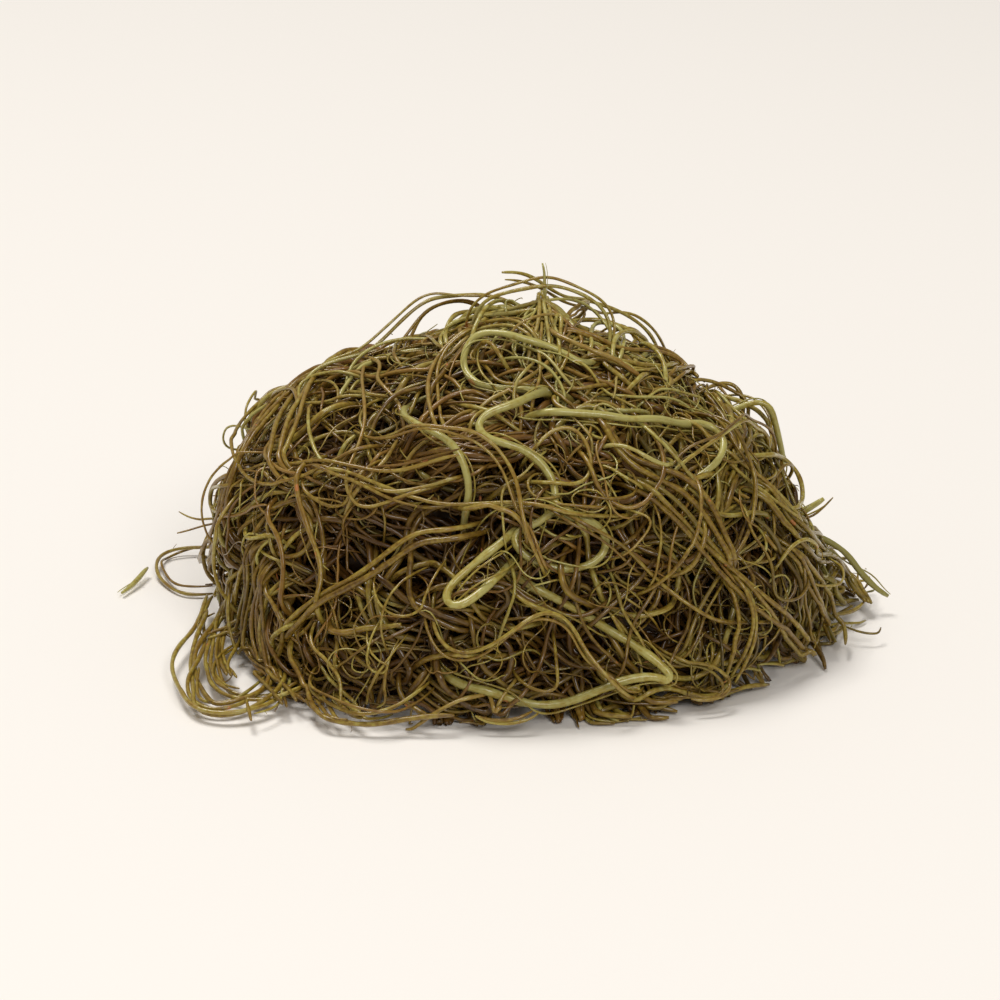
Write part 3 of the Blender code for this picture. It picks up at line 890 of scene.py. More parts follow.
def middle_line(node):
    """The middle line of a slim solid, and its radius halfway."""
    mesh = bmesh.new()
    mesh.from_mesh(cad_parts[node].data)
    bmesh.ops.remove_doubles(mesh, verts=mesh.verts, dist=1e-6)
    mesh.verts.ensure_lookup_table()
    tip = spread(mesh, [mesh.verts[0]])[-1][0]
    end_ring = sorted(mesh.verts, key=lambda vert: (vert.co - tip.co).length)[:RING_CORNERS]
    rings = [np.array([vert.co for vert in front]) for front in spread(mesh, end_ring)]
    mesh.free()
    line = np.array([ring.mean(axis=0) for ring in rings])
    half = rings[len(rings) // 2]
    return line, float(np.linalg.norm(half - half.mean(axis=0), axis=1).mean())


# %% [markdown]
# A pale solid becomes one thick strand with a thin one running beside it. An ochre or green solid
# becomes two thin strands that wind round each other, as thin ones do. Where an end lies on the
# heap, it is drawn on and tucked in, so that no strand looks cut off.

# %% Loose strands
HEAP_MIDDLE = np.array((0.003, 0.0, 0.030))
TUCK_LENGTH = 0.012
TUCK_POINTS = 5
FREE_DISTANCE = 0.005
ON_FLOOR = 0.006
UPRIGHT_FROM = 0.060
BUNDLES = {
    "pale_seaweed": dict(tint=(0.85, 1.0), ochre=0.0, parts=((0.62, 0.05), (0.15, 1.2))),
    "ochre_seaweed": dict(tint=(0.45, 0.75), ochre=0.35, parts=((0.34, 0.6), (0.26, 0.9))),
    "green_seaweed": dict(tint=(0.45, 0.75), ochre=0.1, parts=((0.34, 0.6), (0.28, 0.9))),
}
BUNDLE_TWIST = 60  # radians a metre
BUNDLE_SPACING = 0.0014
BUNDLE_SMOOTHING = 8
SMOOTHING = {"base_sweep": 36}


def smoothed(line, rounds):
    line = line.copy()
    for _ in range(rounds):
        line[1:-1] = (line[:-2] + 2 * line[1:-1] + line[2:]) / 4
    return line


def tucked(line):
    """The line, drawn on into the heap at each end that lies on it."""
    for _ in range(2):
        line = line[::-1]
        end, before_end = line[-1], line[-2]
        place, normal, _, _ = guide.find_nearest(Vector(end))
        if (Vector(end) - place).dot(normal) > FREE_DISTANCE or end[2] < ON_FLOOR:
            continue
        heading = unit(end - before_end)
        added = []
        for k in range(1, TUCK_POINTS + 1):
            share = k / TUCK_POINTS
            heading = unit(heading + 0.45 * unit(HEAP_MIDDLE - end))
            end = end + heading * TUCK_LENGTH / TUCK_POINTS
            added.append(end)
        line = np.concatenate([line, added])
    return line


def rooted(line):
    """The line, drawn down to the heap if it stands up from it with both ends free."""
    if line[0][2] > line[-1][2]:
        line = line[::-1]
    foot, normal, _, gap = guide.find_nearest(Vector(line[0]))
    if gap < FREE_DISTANCE or line[0][2] < UPRIGHT_FROM:
        return line
    return np.concatenate([np.linspace(foot - normal * TUCK, line[0], TUCK_POINTS)[:-1], line])


def carried_across(line):
    """Two directions across the line at each point, carried along it without twisting."""
    along = unit(np.gradient(line, axis=0))
    first = np.array(Vector(along[0]).orthogonal().normalized())
    across = [first]
    for way in along[1:]:
        across.append(unit(across[-1] - way * across[-1].dot(way)))
    across = np.array(across)
    return across, np.cross(along, across)


def add_bundle(node, slot, draw):
    line, radius = middle_line(node)
    line = even_line(tucked(rooted(line)), BUNDLE_SPACING)
    line = smoothed(line, SMOOTHING.get(node, BUNDLE_SMOOTHING))
    across, beside = carried_across(line)
    bundle = BUNDLES[slot]
    parts = bundle["parts"]
    place = BUNDLE_SPACING * np.arange(len(line))
    for k, (size, offset) in enumerate(parts):
        wave = Waves(draw, (0.08, 0.05, 0.03))
        turn = 2 * math.pi * k / len(parts) + BUNDLE_TWIST * place + 2 * wave(place)
        ring = across * np.cos(turn)[:, None] + beside * np.sin(turn)[:, None]
        path = line + ring * offset * radius
        tint = draw.uniform(*bundle["tint"]) - (0.15 if k else 0)
        tint, ochre = shaded(path, tint, bundle["ochre"])
        strands.append(Strand(path, radius * size, tint, ochre, f"{node}_fine", 6 if k else 10, 1.0))


loose_slots = {}
for node in sorted(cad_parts):
    if node != "olive_tangle":
        loose_slots[node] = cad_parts[node].data.materials[0].name.split(".")[0]
        add_bundle(node, loose_slots[node], draw)
print(len(loose_slots), "loose strands")

# %% [markdown]
# ## Strands that can be followed
# Besides the thick pale ones, many strands and small locks can be followed by eye: open loops
# on the crown, long falls on the right, a hanging loop at the left foot. Their routes were read
# in the photograph. Each row is a width in pixels, the tint, the ochre, how many strands run
# abreast, and the pixels of the route.

# %% Routes on the crown and the left
ROUTES = {}
ROUTES["crown_strands"] = (
    (5, 0.65, 0.3, 1, ((530, 338), (536, 320), (540, 305), (541, 289))),
    (5, 0.7, 0.2, 1, ((549, 336), (549, 318), (548, 302), (545, 288))),
    (4, 0.7, 0.2, 1, ((519, 334), (528, 318), (536, 304), (544, 290))),
    (4, 0.6, 0.2, 1, ((560, 340), (556, 322), (552, 306), (549, 290))),
    (4, 0.75, 0.1, 1, ((500, 326), (516, 316), (532, 303), (546, 292), (562, 290), (578, 293),
                       (592, 302), (604, 314), (612, 326), (620, 338))),
    (3, 0.8, 0.0, 1, ((503, 306), (501, 297), (503, 290), (507, 289), (511, 293), (516, 300))),
    (5, 0.6, 0.2, 1, ((553, 327), (556, 311), (560, 304), (564, 309), (564, 322), (562, 338))),
    (3, 0.2, 0.5, 1, ((566, 324), (574, 311), (581, 302), (587, 298), (591, 303), (588, 311),
                      (581, 319), (573, 327), (566, 333))),
    (6, 0.75, 0.1, 1, ((594, 338), (595, 325), (597, 319), (602, 316), (610, 316), (618, 320),
                       (625, 327), (628, 336), (626, 347))),
    (5, 0.35, 0.4, 2, ((575, 324), (588, 328), (600, 332), (609, 339), (616, 344), (630, 346),
                       (650, 346), (666, 347), (679, 352), (686, 359), (686, 366), (681, 373))),
    (5, 0.55, 0.3, 2, ((606, 352), (612, 356), (628, 357), (645, 361), (660, 364), (676, 367),
                       (690, 369))),
    (5, 0.6, 0.3, 2, ((440, 332), (444, 320), (455, 313), (470, 311), (490, 309), (510, 306),
                      (525, 302), (540, 298))),
    (5, 0.5, 0.4, 2, ((452, 330), (470, 322), (490, 318), (508, 318), (522, 322), (530, 330))),
    (3, 0.6, 0.2, 1, ((476, 345), (474, 354), (477, 364), (484, 372), (491, 378))),
    (5, 0.55, 0.3, 1, ((391, 352), (393, 342), (398, 335), (408, 331), (420, 331), (430, 336),
                       (440, 341))),
    (5, 0.45, 0.4, 2, ((437, 415), (435, 396), (434, 376), (435, 361), (441, 346), (451, 336),
                       (464, 327))),
    (4, 0.7, 0.1, 1, ((604, 340), (606, 350), (611, 356), (625, 356))),
    (4, 0.5, 0.3, 1, ((541, 320), (537, 345), (540, 370), (534, 392))),
    (3, 0.75, 0.2, 1, ((597, 413), (597, 402), (601, 398), (609, 400), (617, 407), (623, 416))),
    (3, 0.8, 0.1, 1, ((655, 395), (662, 388), (673, 390), (686, 395), (700, 400))),
    (4, 0.5, 0.3, 1, ((699, 380), (712, 382), (725, 389), (740, 400))),
)
ROUTES["left_strands"] = (
    (5, 0.5, 0.2, 1, ((272, 394), (257, 407), (244, 422), (235, 440), (234, 453), (237, 466),
                      (246, 476), (259, 482), (280, 482), (299, 478), (318, 470), (334, 463),
                      (353, 453))),
    (4, 0.55, 0.7, 1, ((360, 363), (361, 380), (363, 392), (365, 415), (366, 434), (361, 445),
                       (356, 455), (351, 470), (349, 482), (352, 495), (357, 505), (365, 508),
                       (378, 505), (395, 499), (418, 491))),
    (4, 0.6, 0.2, 1, ((338, 374), (318, 375), (303, 382), (296, 394), (299, 403), (311, 406),
                      (328, 403), (341, 396))),
    (5, 0.6, 0.3, 1, ((309, 407), (311, 434), (316, 457), (324, 470), (341, 478), (360, 484),
                      (380, 490), (404, 492), (427, 488), (448, 480))),
    (4, 0.6, 0.1, 1, ((226, 487), (215, 491), (211, 500), (213, 508), (221, 514))),
    (5, 0.45, 0.2, 1, ((207, 563), (202, 552), (202, 545), (206, 540), (212, 538), (217, 544),
                       (215, 551), (211, 558))),
    (3, 0.5, 0.2, 1, ((181, 510), (190, 515), (200, 519), (212, 518))),
    (3, 0.5, 0.2, 1, ((181, 533), (190, 533), (196, 528), (207, 525))),
    (6, 0.7, 0.2, 1, ((299, 482), (300, 497), (304, 512), (308, 528), (313, 542), (318, 556),
                      (322, 570), (322, 585), (318, 600))),
    (6, 0.45, 0.6, 1, ((272, 520), (280, 532), (285, 546), (287, 562), (286, 580), (283, 598))),
    (4, 0.6, 0.2, 1, ((310, 495), (322, 505), (335, 508), (348, 505), (353, 498), (350, 488))),
    (5, 0.5, 0.35, 4, ((318, 372), (296, 384), (277, 400), (262, 420), (250, 443), (240, 466),
                       (230, 490), (222, 515), (216, 540), (214, 560))),
    (6, 0.45, 0.3, 3, ((352, 352), (325, 366), (306, 384), (294, 408), (286, 432), (278, 458))),
    (7, 0.55, 0.1, 2, ((290, 627), (303, 612), (322, 597), (351, 589), (376, 576), (399, 556),
                       (418, 537), (448, 532))),
)

# %% Routes on the right, the front and the foot
ROUTES["right_strands"] = (
    (7, 0.5, 0.2, 2, ((608, 428), (614, 442), (625, 457), (644, 466), (663, 472), (682, 482),
                      (698, 497), (707, 514), (717, 535), (727, 554))),
    (6, 0.5, 0.2, 3, ((655, 497), (683, 521), (700, 539), (715, 556), (730, 572), (746, 589),
                      (761, 607), (778, 624), (797, 641), (812, 655))),
    (5, 0.6, 0.3, 2, ((700, 430), (715, 445), (728, 458), (745, 475), (765, 492), (782, 505),
                      (797, 518))),
    (6, 0.65, 0.1, 1, ((768, 459), (782, 461), (793, 467), (800, 477), (803, 489), (802, 501),
                       (797, 510))),
    (3, 0.6, 0.1, 1, ((752, 404), (764, 414), (770, 428), (769, 442), (764, 455))),
    (4, 0.5, 0.2, 1, ((745, 515), (746, 528), (754, 540), (762, 550), (769, 560), (771, 572),
                      (768, 586), (767, 599), (778, 602), (791, 602), (801, 596), (806, 586))),
    (3, 0.5, 0.2, 1, ((811, 518), (817, 516), (822, 507), (829, 500))),
    (3, 0.4, 0.3, 1, ((838, 625), (850, 632), (866, 636), (881, 636), (888, 628))),
    (5, 0.5, 0.2, 1, ((832, 617), (846, 615), (858, 608), (866, 600))),
    (3, 0.4, 0.2, 1, ((861, 584), (860, 571), (861, 565), (864, 564), (865, 569), (862, 576))),
    (4, 0.5, 0.3, 1, ((856, 582), (870, 580), (883, 579))),
    (4, 0.4, 0.3, 1, ((866, 594), (874, 588), (882, 581))),
    (4, 0.7, 0.0, 1, ((868, 597), (882, 596), (894, 594))),
    (4, 0.6, 0.1, 1, ((818, 552), (830, 549), (841, 553), (847, 560))),
    (6, 0.5, 0.1, 4, ((770, 500), (785, 520), (800, 535), (818, 548), (836, 562), (850, 578),
                      (862, 592), (872, 604))),
    (5, 0.55, 0.0, 3, ((740, 590), (746, 606), (748, 624), (745, 642), (738, 660), (730, 680))),
    (5, 0.5, 0.1, 3, ((800, 560), (812, 585), (822, 605), (830, 625), (836, 645))),
    (4, 0.6, 0.1, 2, ((688, 660), (705, 662), (720, 672), (728, 688), (720, 700), (704, 703),
                      (690, 698))),
)
ROUTES["front_strands"] = (
    (5, 0.5, 0.7, 1, ((593, 472), (596, 487), (608, 503), (623, 511), (637, 509), (650, 499),
                      (661, 484), (665, 468), (662, 453), (658, 438), (650, 424), (642, 415))),
    (4, 0.6, 0.3, 1, ((539, 445), (549, 432), (564, 424), (577, 426), (583, 438), (589, 453),
                      (590, 472), (583, 484), (572, 486), (560, 484))),
    (3, 0.75, 0.3, 1, ((503, 530), (504, 510), (502, 491), (504, 484), (514, 484), (526, 480),
                       (533, 468))),
    (3, 0.7, 0.3, 1, ((638, 512), (652, 514), (656, 520), (650, 530), (638, 541), (631, 547))),
    (3, 0.7, 0.3, 1, ((656, 516), (661, 530), (659, 549), (654, 575))),
    (6, 0.75, 0.1, 1, ((534, 606), (553, 612), (572, 625), (582, 643), (587, 658), (603, 675),
                       (622, 688), (639, 692), (649, 687), (645, 681), (630, 687))),
    (4, 0.7, 0.2, 1, ((620, 595), (622, 612), (633, 629), (639, 643))),
    (3, 0.75, 0.1, 1, ((371, 655), (366, 661), (368, 668), (375, 674), (385, 675), (393, 670),
                       (394, 663), (388, 660), (380, 662))),
    (3, 0.75, 0.1, 1, ((378, 600), (382, 610), (390, 617), (400, 619), (412, 618), (422, 615),
                       (429, 607), (425, 600))),
    (4, 0.7, 0.1, 1, ((367, 707), (366, 696), (370, 685), (378, 674))),
    (4, 0.65, 0.2, 1, ((380, 705), (388, 707), (392, 697), (386, 686))),
    (4, 0.7, 0.1, 1, ((540, 690), (550, 693), (558, 690), (561, 682), (556, 674))),
    (5, 0.7, 0.2, 1, ((316, 650), (330, 664), (341, 673), (343, 688), (339, 708))),
)
ROUTES["foot_strands"] = (
    (6, 0.6, 0.15, 4, ((216, 600), (207, 622), (197, 645), (190, 668), (188, 688), (191, 704),
                       (203, 714), (222, 716), (241, 710), (258, 701), (272, 689), (280, 674))),
    (4, 0.65, 0.1, 1, ((198, 671), (196, 687), (198, 700), (209, 705), (226, 706), (242, 700),
                       (257, 688), (265, 679))),
    (5, 0.55, 0.15, 3, ((265, 593), (259, 610), (257, 629), (260, 648), (267, 667), (275, 684))),
    (5, 0.55, 0.15, 2, ((269, 595), (281, 611), (288, 633), (282, 652), (272, 668))),
    (5, 0.55, 0.2, 2, ((207, 640), (230, 631), (246, 622), (257, 607), (266, 596))),
    (3, 0.55, 0.2, 1, ((214, 614), (203, 619), (197, 627), (199, 635), (208, 641))),
    (5, 0.6, 0.1, 1, ((247, 700), (249, 712), (249, 726))),
    (3, 0.9, 0.0, 1, ((255, 718), (268, 715), (279, 709), (283, 698), (283, 686))),
    (7, 0.6, 0.1, 1, ((330, 695), (345, 710), (352, 716), (360, 722))),
    (6, 0.4, 0.1, 1, ((405, 700), (414, 709), (420, 716), (427, 722))),
    (5, 0.5, 0.1, 3, ((235, 585), (224, 615), (212, 645), (207, 664), (214, 684), (232, 698),
                      (256, 700), (280, 694), (300, 682))),
    (5, 0.45, 0.1, 4, ((262, 580), (264, 612), (266, 644), (271, 672), (284, 694), (292, 706))),
    (5, 0.5, 0.1, 3, ((245, 570), (240, 600), (232, 630), (224, 652), (222, 668), (229, 680))),
    (4, 0.4, 0.1, 3, ((250, 560), (252, 590), (247, 622), (246, 650), (254, 668), (268, 676))),
    (4, 0.6, 0.1, 2, ((246, 644), (232, 650), (220, 660), (214, 676), (222, 690), (236, 692))),
    (6, 0.5, 0.2, 1, ((292, 660), (306, 682), (310, 702), (324, 721), (348, 732), (373, 737),
                      (413, 732), (454, 728))),
    (5, 0.45, 0.1, 2, ((316, 700), (324, 714), (333, 726), (345, 732))),
    (7, 0.5, 0.1, 1, ((337, 700), (349, 712), (361, 721))),
    (4, 0.65, 0.2, 2, ((475, 722), (488, 732), (507, 734), (522, 729), (534, 716))),
    (4, 0.6, 0.3, 1, ((305, 700), (307, 709), (313, 714), (318, 710))),
)
print(sum(len(rows) for rows in ROUTES.values()), "routes")

# %% Strands along the routes
ROUTE_LIFT = 0.0007
ROUTE_SMOOTHING = 4
DEPTH_SMOOTHING = 24
ROUTE_WAVE = 0.0007
ROUTE_HOLD = 0.8
PIXELS_PER_METRE = 4400


def outward_at(line):
    return np.array([nearest(Vector(point))[1] for point in line])


def depth_under_guide(points):
    depths = np.zeros(len(points))
    for i, point in enumerate(points):
        place, normal, _, _ = guide.find_nearest(point)
        depths[i] = (place - Vector(point)).dot(normal)
    return depths


def steadied(line):
    """The line with its depths in the picture smoothed; each point keeps its line of sight."""
    eye = np.array(sight((0, 0))[0])
    ways = line - eye
    depths = smoothed(line[:, 1], DEPTH_SMOOTHING)
    return eye + ways * ((depths - eye[1]) / ways[:, 1])[:, None]


def add_route(piece, width, tint, ochre, abreast, pixels, draw):
    line = even_line([on_heap(pixel) for pixel in pixels], SPACING * 0.7)
    line = steadied(smoothed(line, ROUTE_SMOOTHING))
    line[:, 2] = np.maximum(line[:, 2], 0.0008)
    line = tucked(even_line(line, SPACING * 0.7))
    outward = outward_at(line)
    across = unit(np.cross(np.gradient(line, axis=0), outward))
    place = SPACING * 0.7 * np.arange(len(line))
    radius = width / PIXELS_PER_METRE / 2
    for k in range(abreast):
        side = (k - (abreast - 1) / 2) * radius * 2.3
        side = side + ROUTE_WAVE * abreast * Waves(draw, (0.11, 0.07, 0.045))(place)
        rise = ROUTE_LIFT + ROUTE_WAVE * Waves(draw, (0.06, 0.035))(place)
        path = line + outward * rise[:, None] + across * side[:, None]
        shade, green = shaded(path, tint + draw.uniform(-0.12, 0.12), ochre)
        size = radius * draw.uniform(0.75, 1.0)
        strands.append(Strand(path, size, shade, green, piece, 6, ROUTE_HOLD))


for piece, rows in ROUTES.items():
    for width, tint, ochre, abreast, pixels in rows:
        add_route(piece, width, tint, ochre, abreast, pixels, draw)
print(len(strands), "strands with the followed ones")

# %% [markdown]
# ## Pushing the strands apart
# So far the strands pass through each other. A simple relaxation mends that: find the pairs of
# stretches that are too close, push both apart, smooth the push along each strand so that it
# keeps its curls, and repeat. Near the outside the strands give way sideways and inwards, so
# the heap keeps its outline. All the points sit in one array, so NumPy does them all at once.

# %% All points in one array
class Sheaf:
    """The points of many strands in one array, with each point's strand and neighbours."""

    def __init__(self, strands):
        self.counts = np.array([len(strand.line) for strand in strands])
        self.starts = np.cumsum(self.counts) - self.counts
        self.points = np.concatenate([strand.line for strand in strands])
        every = np.arange(len(self.points))
        self.owner = np.repeat(np.arange(len(strands)), self.counts)
        self.order = every - self.starts[self.owner]
        self.is_last = self.order == self.counts[self.owner] - 1
        self.before = every - (self.order > 0)
        self.after = every + ~self.is_last
        self.radii = np.array([strand.radius for strand in strands])[self.owner]
        self.hold = np.array([strand.hold for strand in strands])[self.owner]

    def line(self, number):
        first = self.starts[number]
        return self.points[first : first + self.counts[number]]

    def length(self):
        return float(np.linalg.norm(self.points[self.after] - self.points, axis=1).sum())


sheaf = Sheaf(strands)
print(len(sheaf.points), "points,", round(sheaf.length()), "m of strand")

# %% Pairs of close stretches
CELL = 0.0036
HALF_SPACE = [
    (x, y, z) for x in (-1, 0, 1) for y in (-1, 0, 1) for z in (-1, 0, 1) if (x, y, z) >= (0, 0, 0)
]


def close_pairs(middles, reach):
    """Pairs of middles within reach of each other, found with a grid of cells."""
    cell = np.floor(middles / reach).astype(np.int64)
    cell -= cell.min(axis=0) - 1
    size = cell.max(axis=0) + 2
    key = (cell[:, 0] * size[1] + cell[:, 1]) * size[2] + cell[:, 2]
    ranked = np.argsort(key, kind="stable")
    ranked_key = key[ranked]
    found = []
    for x, y, z in HALF_SPACE:
        wanted = key + (x * size[1] + y) * size[2] + z
        first = np.searchsorted(ranked_key, wanted, "left")
        many = np.searchsorted(ranked_key, wanted, "right") - first
        one = np.repeat(np.arange(len(key)), many)
        nth = np.arange(len(one)) - np.repeat(np.cumsum(many) - many, many)
        other = ranked[np.repeat(first, many) + nth]
        near = ((middles[one] - middles[other]) ** 2).sum(axis=1) < reach * reach
        if (x, y, z) == (0, 0, 0):
            near &= one < other
        found.append(np.stack([one[near], other[near]]))
    return np.concatenate(found, axis=1)


def dot(a, b):
    return np.einsum("ij,ij->i", a, b)


def nearest_shares(a, b, c, d):
    """Where along a-b and c-d the two stretches come nearest, as shares of their lengths."""
    ab, cd, ac = b - a, d - c, a - c
    aa, cc, ac_cd = dot(ab, ab), dot(cd, cd), dot(cd, ac)
    mixed, ac_ab = dot(ab, cd), dot(ab, ac)
    flat = np.maximum(aa * cc - mixed * mixed, 1e-4 * aa * cc + 1e-18)
    one = np.clip((mixed * ac_cd - ac_ab * cc) / flat, 0, 1)
    other = np.clip((mixed * one + ac_cd) / np.maximum(cc, 1e-15), 0, 1)
    one = np.clip((mixed * other - ac_ab) / np.maximum(aa, 1e-15), 0, 1)
    return one, other


# %% [markdown]
# Nothing may spread past the CAD model's box. Points near its sides are drawn in softly, so
# that the strands there close up instead of being cut off flat.

# %% Soft limits
SOFT = 0.005
REACH_LOW = np.array([cad_box[0][0] + 0.001, cad_box[0][1] - 0.0004, -1.0])
REACH_HIGH = np.array([cad_box[1][0] - 0.001, cad_box[1][1] + 0.0004, cad_box[1][2]])


def drawn_in(points):
    """The points, with those near the limits drawn in so that none passes them."""
    over = np.maximum(points - (REACH_HIGH - SOFT), 0)
    points = points - over + SOFT * over / (over + SOFT)
    under = np.maximum(REACH_LOW + SOFT - points, 0)
    return points + under - SOFT * under / (under + SOFT)


# %% Relaxation
ROUNDS = 34
PAIR_ROUNDS = 6
STRAND_GAP = 0.00004
PUSH = 0.55
KEEP_CURL = 0.35
LARGEST_MOVE = 0.0030
HELD_MOVE = 0.0004
FREE_DEPTH = 0.005
STAND_OFF = 0.0002
STAND_OFF_LESS = 0.85
CROWN_SINK = 0.0022


def relax(sheaf):
    points, radii, owner = sheaf.points, sheaf.radii, sheaf.owner
    stretch = np.nonzero(~sheaf.is_last)[0]
    outward = outward_at(points)
    depth = depth_under_guide(points)
    past = np.maximum(-depth - STAND_OFF, 0) * (sheaf.hold == 0) * STAND_OFF_LESS
    past += CROWN_SINK * np.clip((points[:, 2] - 0.058) / 0.012, 0, 1) * (sheaf.hold < 1)
    points = points - outward * past[:, None]
    start = points.copy()
    room = np.clip(depth / FREE_DEPTH, 0.1, 1)
    weight = 1 - 0.9 * sheaf.hold
    most = np.where(sheaf.hold > 0, HELD_MOVE, LARGEST_MOVE)[:, None]
    for turn in range(ROUNDS):
        if turn % PAIR_ROUNDS == 0:
            middles = (points[stretch] + points[stretch + 1]) / 2
            one, other = close_pairs(middles, CELL)
            apart = (owner[stretch[one]] != owner[stretch[other]]) | (np.abs(one - other) > 4)
            one, other = stretch[one[apart]], stretch[other[apart]]
        s, t = nearest_shares(points[one], points[one + 1], points[other], points[other + 1])
        gap = points[one] * (1 - s)[:, None] + points[one + 1] * s[:, None]
        gap -= points[other] * (1 - t)[:, None] + points[other + 1] * t[:, None]
        distance = np.linalg.norm(gap, axis=1)
        short = radii[one] + radii[other] + STRAND_GAP - distance
        hit = short > 0
        push = gap[hit] / np.maximum(distance[hit], 1e-7)[:, None] * (short[hit] * PUSH)[:, None]
        moved = np.zeros_like(points)
        touched = np.zeros(len(points))
        for rows, share, sign in (
            (one[hit], 1 - s[hit], 1), (one[hit] + 1, s[hit], 1),
            (other[hit], 1 - t[hit], -1), (other[hit] + 1, t[hit], -1),
        ):
            touched += np.bincount(rows, share, len(points))
            for axis in range(3):
                moved[:, axis] += np.bincount(rows, sign * share * push[:, axis], len(points))
        moved *= (weight / np.maximum(1, touched * 0.7))[:, None]
        shift = points + moved - start
        shift += KEEP_CURL * ((shift[sheaf.before] + shift[sheaf.after]) / 2 - shift)
        rise = np.maximum(dot(shift, outward), 0) * (1 - room)
        shift -= outward * rise[:, None]
        size = np.linalg.norm(shift, axis=1, keepdims=True)
        shift *= np.minimum(1, most / np.maximum(size, 1e-12))
        points = start + shift
        points = np.where(sheaf.hold[:, None] == 1, points, drawn_in(points))
        points[:, 2] = np.maximum(points[:, 2], radii + 0.0002)
    print(int(hit.sum()), "of", len(hit), "pairs still touch, deepest",
          round(float(short.max() * 1000), 2), "mm; half a lap at most for",
          round(float((short[hit] < 0.3 * radii[one[hit]]).mean()), 2))
    return points


sheaf.points = relax(sheaf)
for number, strand in enumerate(strands):
    strand.line = sheaf.line(number).copy()

# %% [markdown]
# Where an outer strand turns quickly, points are added halfway between its points, on a smooth
# curve through them, so that no corners show.

# %% Rounder bends
ROUND_TURN = 0.11


def rounded(line):
    """The line with a point added on the smooth curve between each two points."""
    ends = np.concatenate([[2 * line[0] - line[1]], line, [2 * line[-1] - line[-2]]])
    halfway = (9 * (ends[1:-2] + ends[2:-1]) - ends[:-3] - ends[3:]) / 16
    finer = np.empty((2 * len(line) - 1, 3))
    finer[0::2] = line
    finer[1::2] = halfway
    return finer


for strand in strands:
    ways = unit(np.diff(strand.line, axis=0))
    turn = float(np.arccos(np.clip(dot(ways[1:], ways[:-1]), -1, 1)).mean())
    if turn > ROUND_TURN and strand.piece not in ("inner_strands", "curled_threads"):
        strand.line = rounded(strand.line)

# %% [markdown]
# ## Twigs
# The real strands carry short, hair-thin side twigs, which catch the light along the outline.
# Each twig starts on a strand near the outside, leans along it and curls as it goes.

# %% Twigs
TWIGS = 520
TWIG_LENGTHS = (0.0016, 0.0060)
TWIG_RADII = (0.00012, 0.00022)
TWIG_POINTS = 8
TWIG_DEEPEST = 0.004


def add_twigs(draw):
    sources = [strand for strand in strands if strand.piece != "inner_strands"]
    made = 0
    while made < TWIGS:
        strand = draw.choice(sources)
        k = draw.randrange(1, len(strand.line) - 2)
        start = strand.line[k]
        if depth_under_guide(start[None])[0] > TWIG_DEEPEST:
            continue
        along = unit(strand.line[k + 1] - strand.line[k - 1]) * draw.choice((-1, 1))
        outward = np.array(nearest(Vector(start))[1])
        stray = np.array([draw.uniform(-1, 1) for _ in range(3)])
        heading = unit(0.9 * along + 0.5 * outward + 0.5 * stray)
        bend = unit(np.cross(heading, stray))
        turn = draw.uniform(0.8, 3.2) * np.linspace(0, 1, TWIG_POINTS)[:, None]
        steps = heading * np.cos(turn) + bend * np.sin(turn)
        steps *= draw.uniform(*TWIG_LENGTHS) / TWIG_POINTS
        line = drawn_in(start + np.cumsum(steps, axis=0) - steps[0])
        line[:, 2] = np.maximum(line[:, 2], 0.0004)
        radius = min(0.6 * strand.radius, draw.uniform(*TWIG_RADII))
        strands.append(Strand(line, radius, strand.tint, strand.ochre, "twigs", 4))
        made += 1


add_twigs(draw)
sheaf = Sheaf(strands)
points, radii, owner, order = sheaf.points, sheaf.radii, sheaf.owner, sheaf.order
counts, starts, before, after = sheaf.counts, sheaf.starts, sheaf.before, sheaf.after
print(len(strands), "strands with the twigs")

# %% [markdown]
# ## From lines to tubes
# Making thousands of tubes one extrusion at a time would be slow. A straight blank is made once
# for each number of rings. Each strand copies a blank and is bent along its line, as a wire is
# bent. The direction "across" is carried from ring to ring, so that a tube never twists.

# %% Straight blanks
blanks = {}


def blank(rings, sides):
    """A straight tube of this many rings as a mesh, with its corners as an array."""
    if (rings, sides) not in blanks:
        mesh = straight_tube(rings, sides)
        bmesh.ops.recalc_face_normals(mesh, faces=mesh.faces)
        data = bpy.data.meshes.new(f"blank_{rings}_{sides}")
        mesh.to_mesh(data)
        blanks[rings, sides] = data, np.array([vert.co for vert in mesh.verts])
        mesh.free()
    return blanks[rings, sides]


# %% Directions along the strands
def strand_frames(points):
    """For every point: the way along its strand, and two directions across it."""
    along = unit(points[after] - points[before])
    across = np.zeros_like(points)
    helper = np.where(np.abs(along[starts, 2:3]) < 0.9, [[0, 0, 1.0]], [[1.0, 0, 0]])
    across[starts] = unit(np.cross(along[starts], helper))
    for ring in range(1, counts.max()):
        rows = starts[counts > ring] + ring
        carried = across[rows - 1]
        across[rows] = unit(carried - along[rows] * dot(carried, along[rows])[:, None])
    return along, across, np.cross(along, across)


along, across, beside = strand_frames(points)


depths = depth_under_guide(points)
print("deepest", round(float(depths.max() * 1000), 1), "mm")

# %% Bending the blanks
TIP_LENGTH = 0.006
TIP_SHARE = 0.5
UNEVEN = 0.14


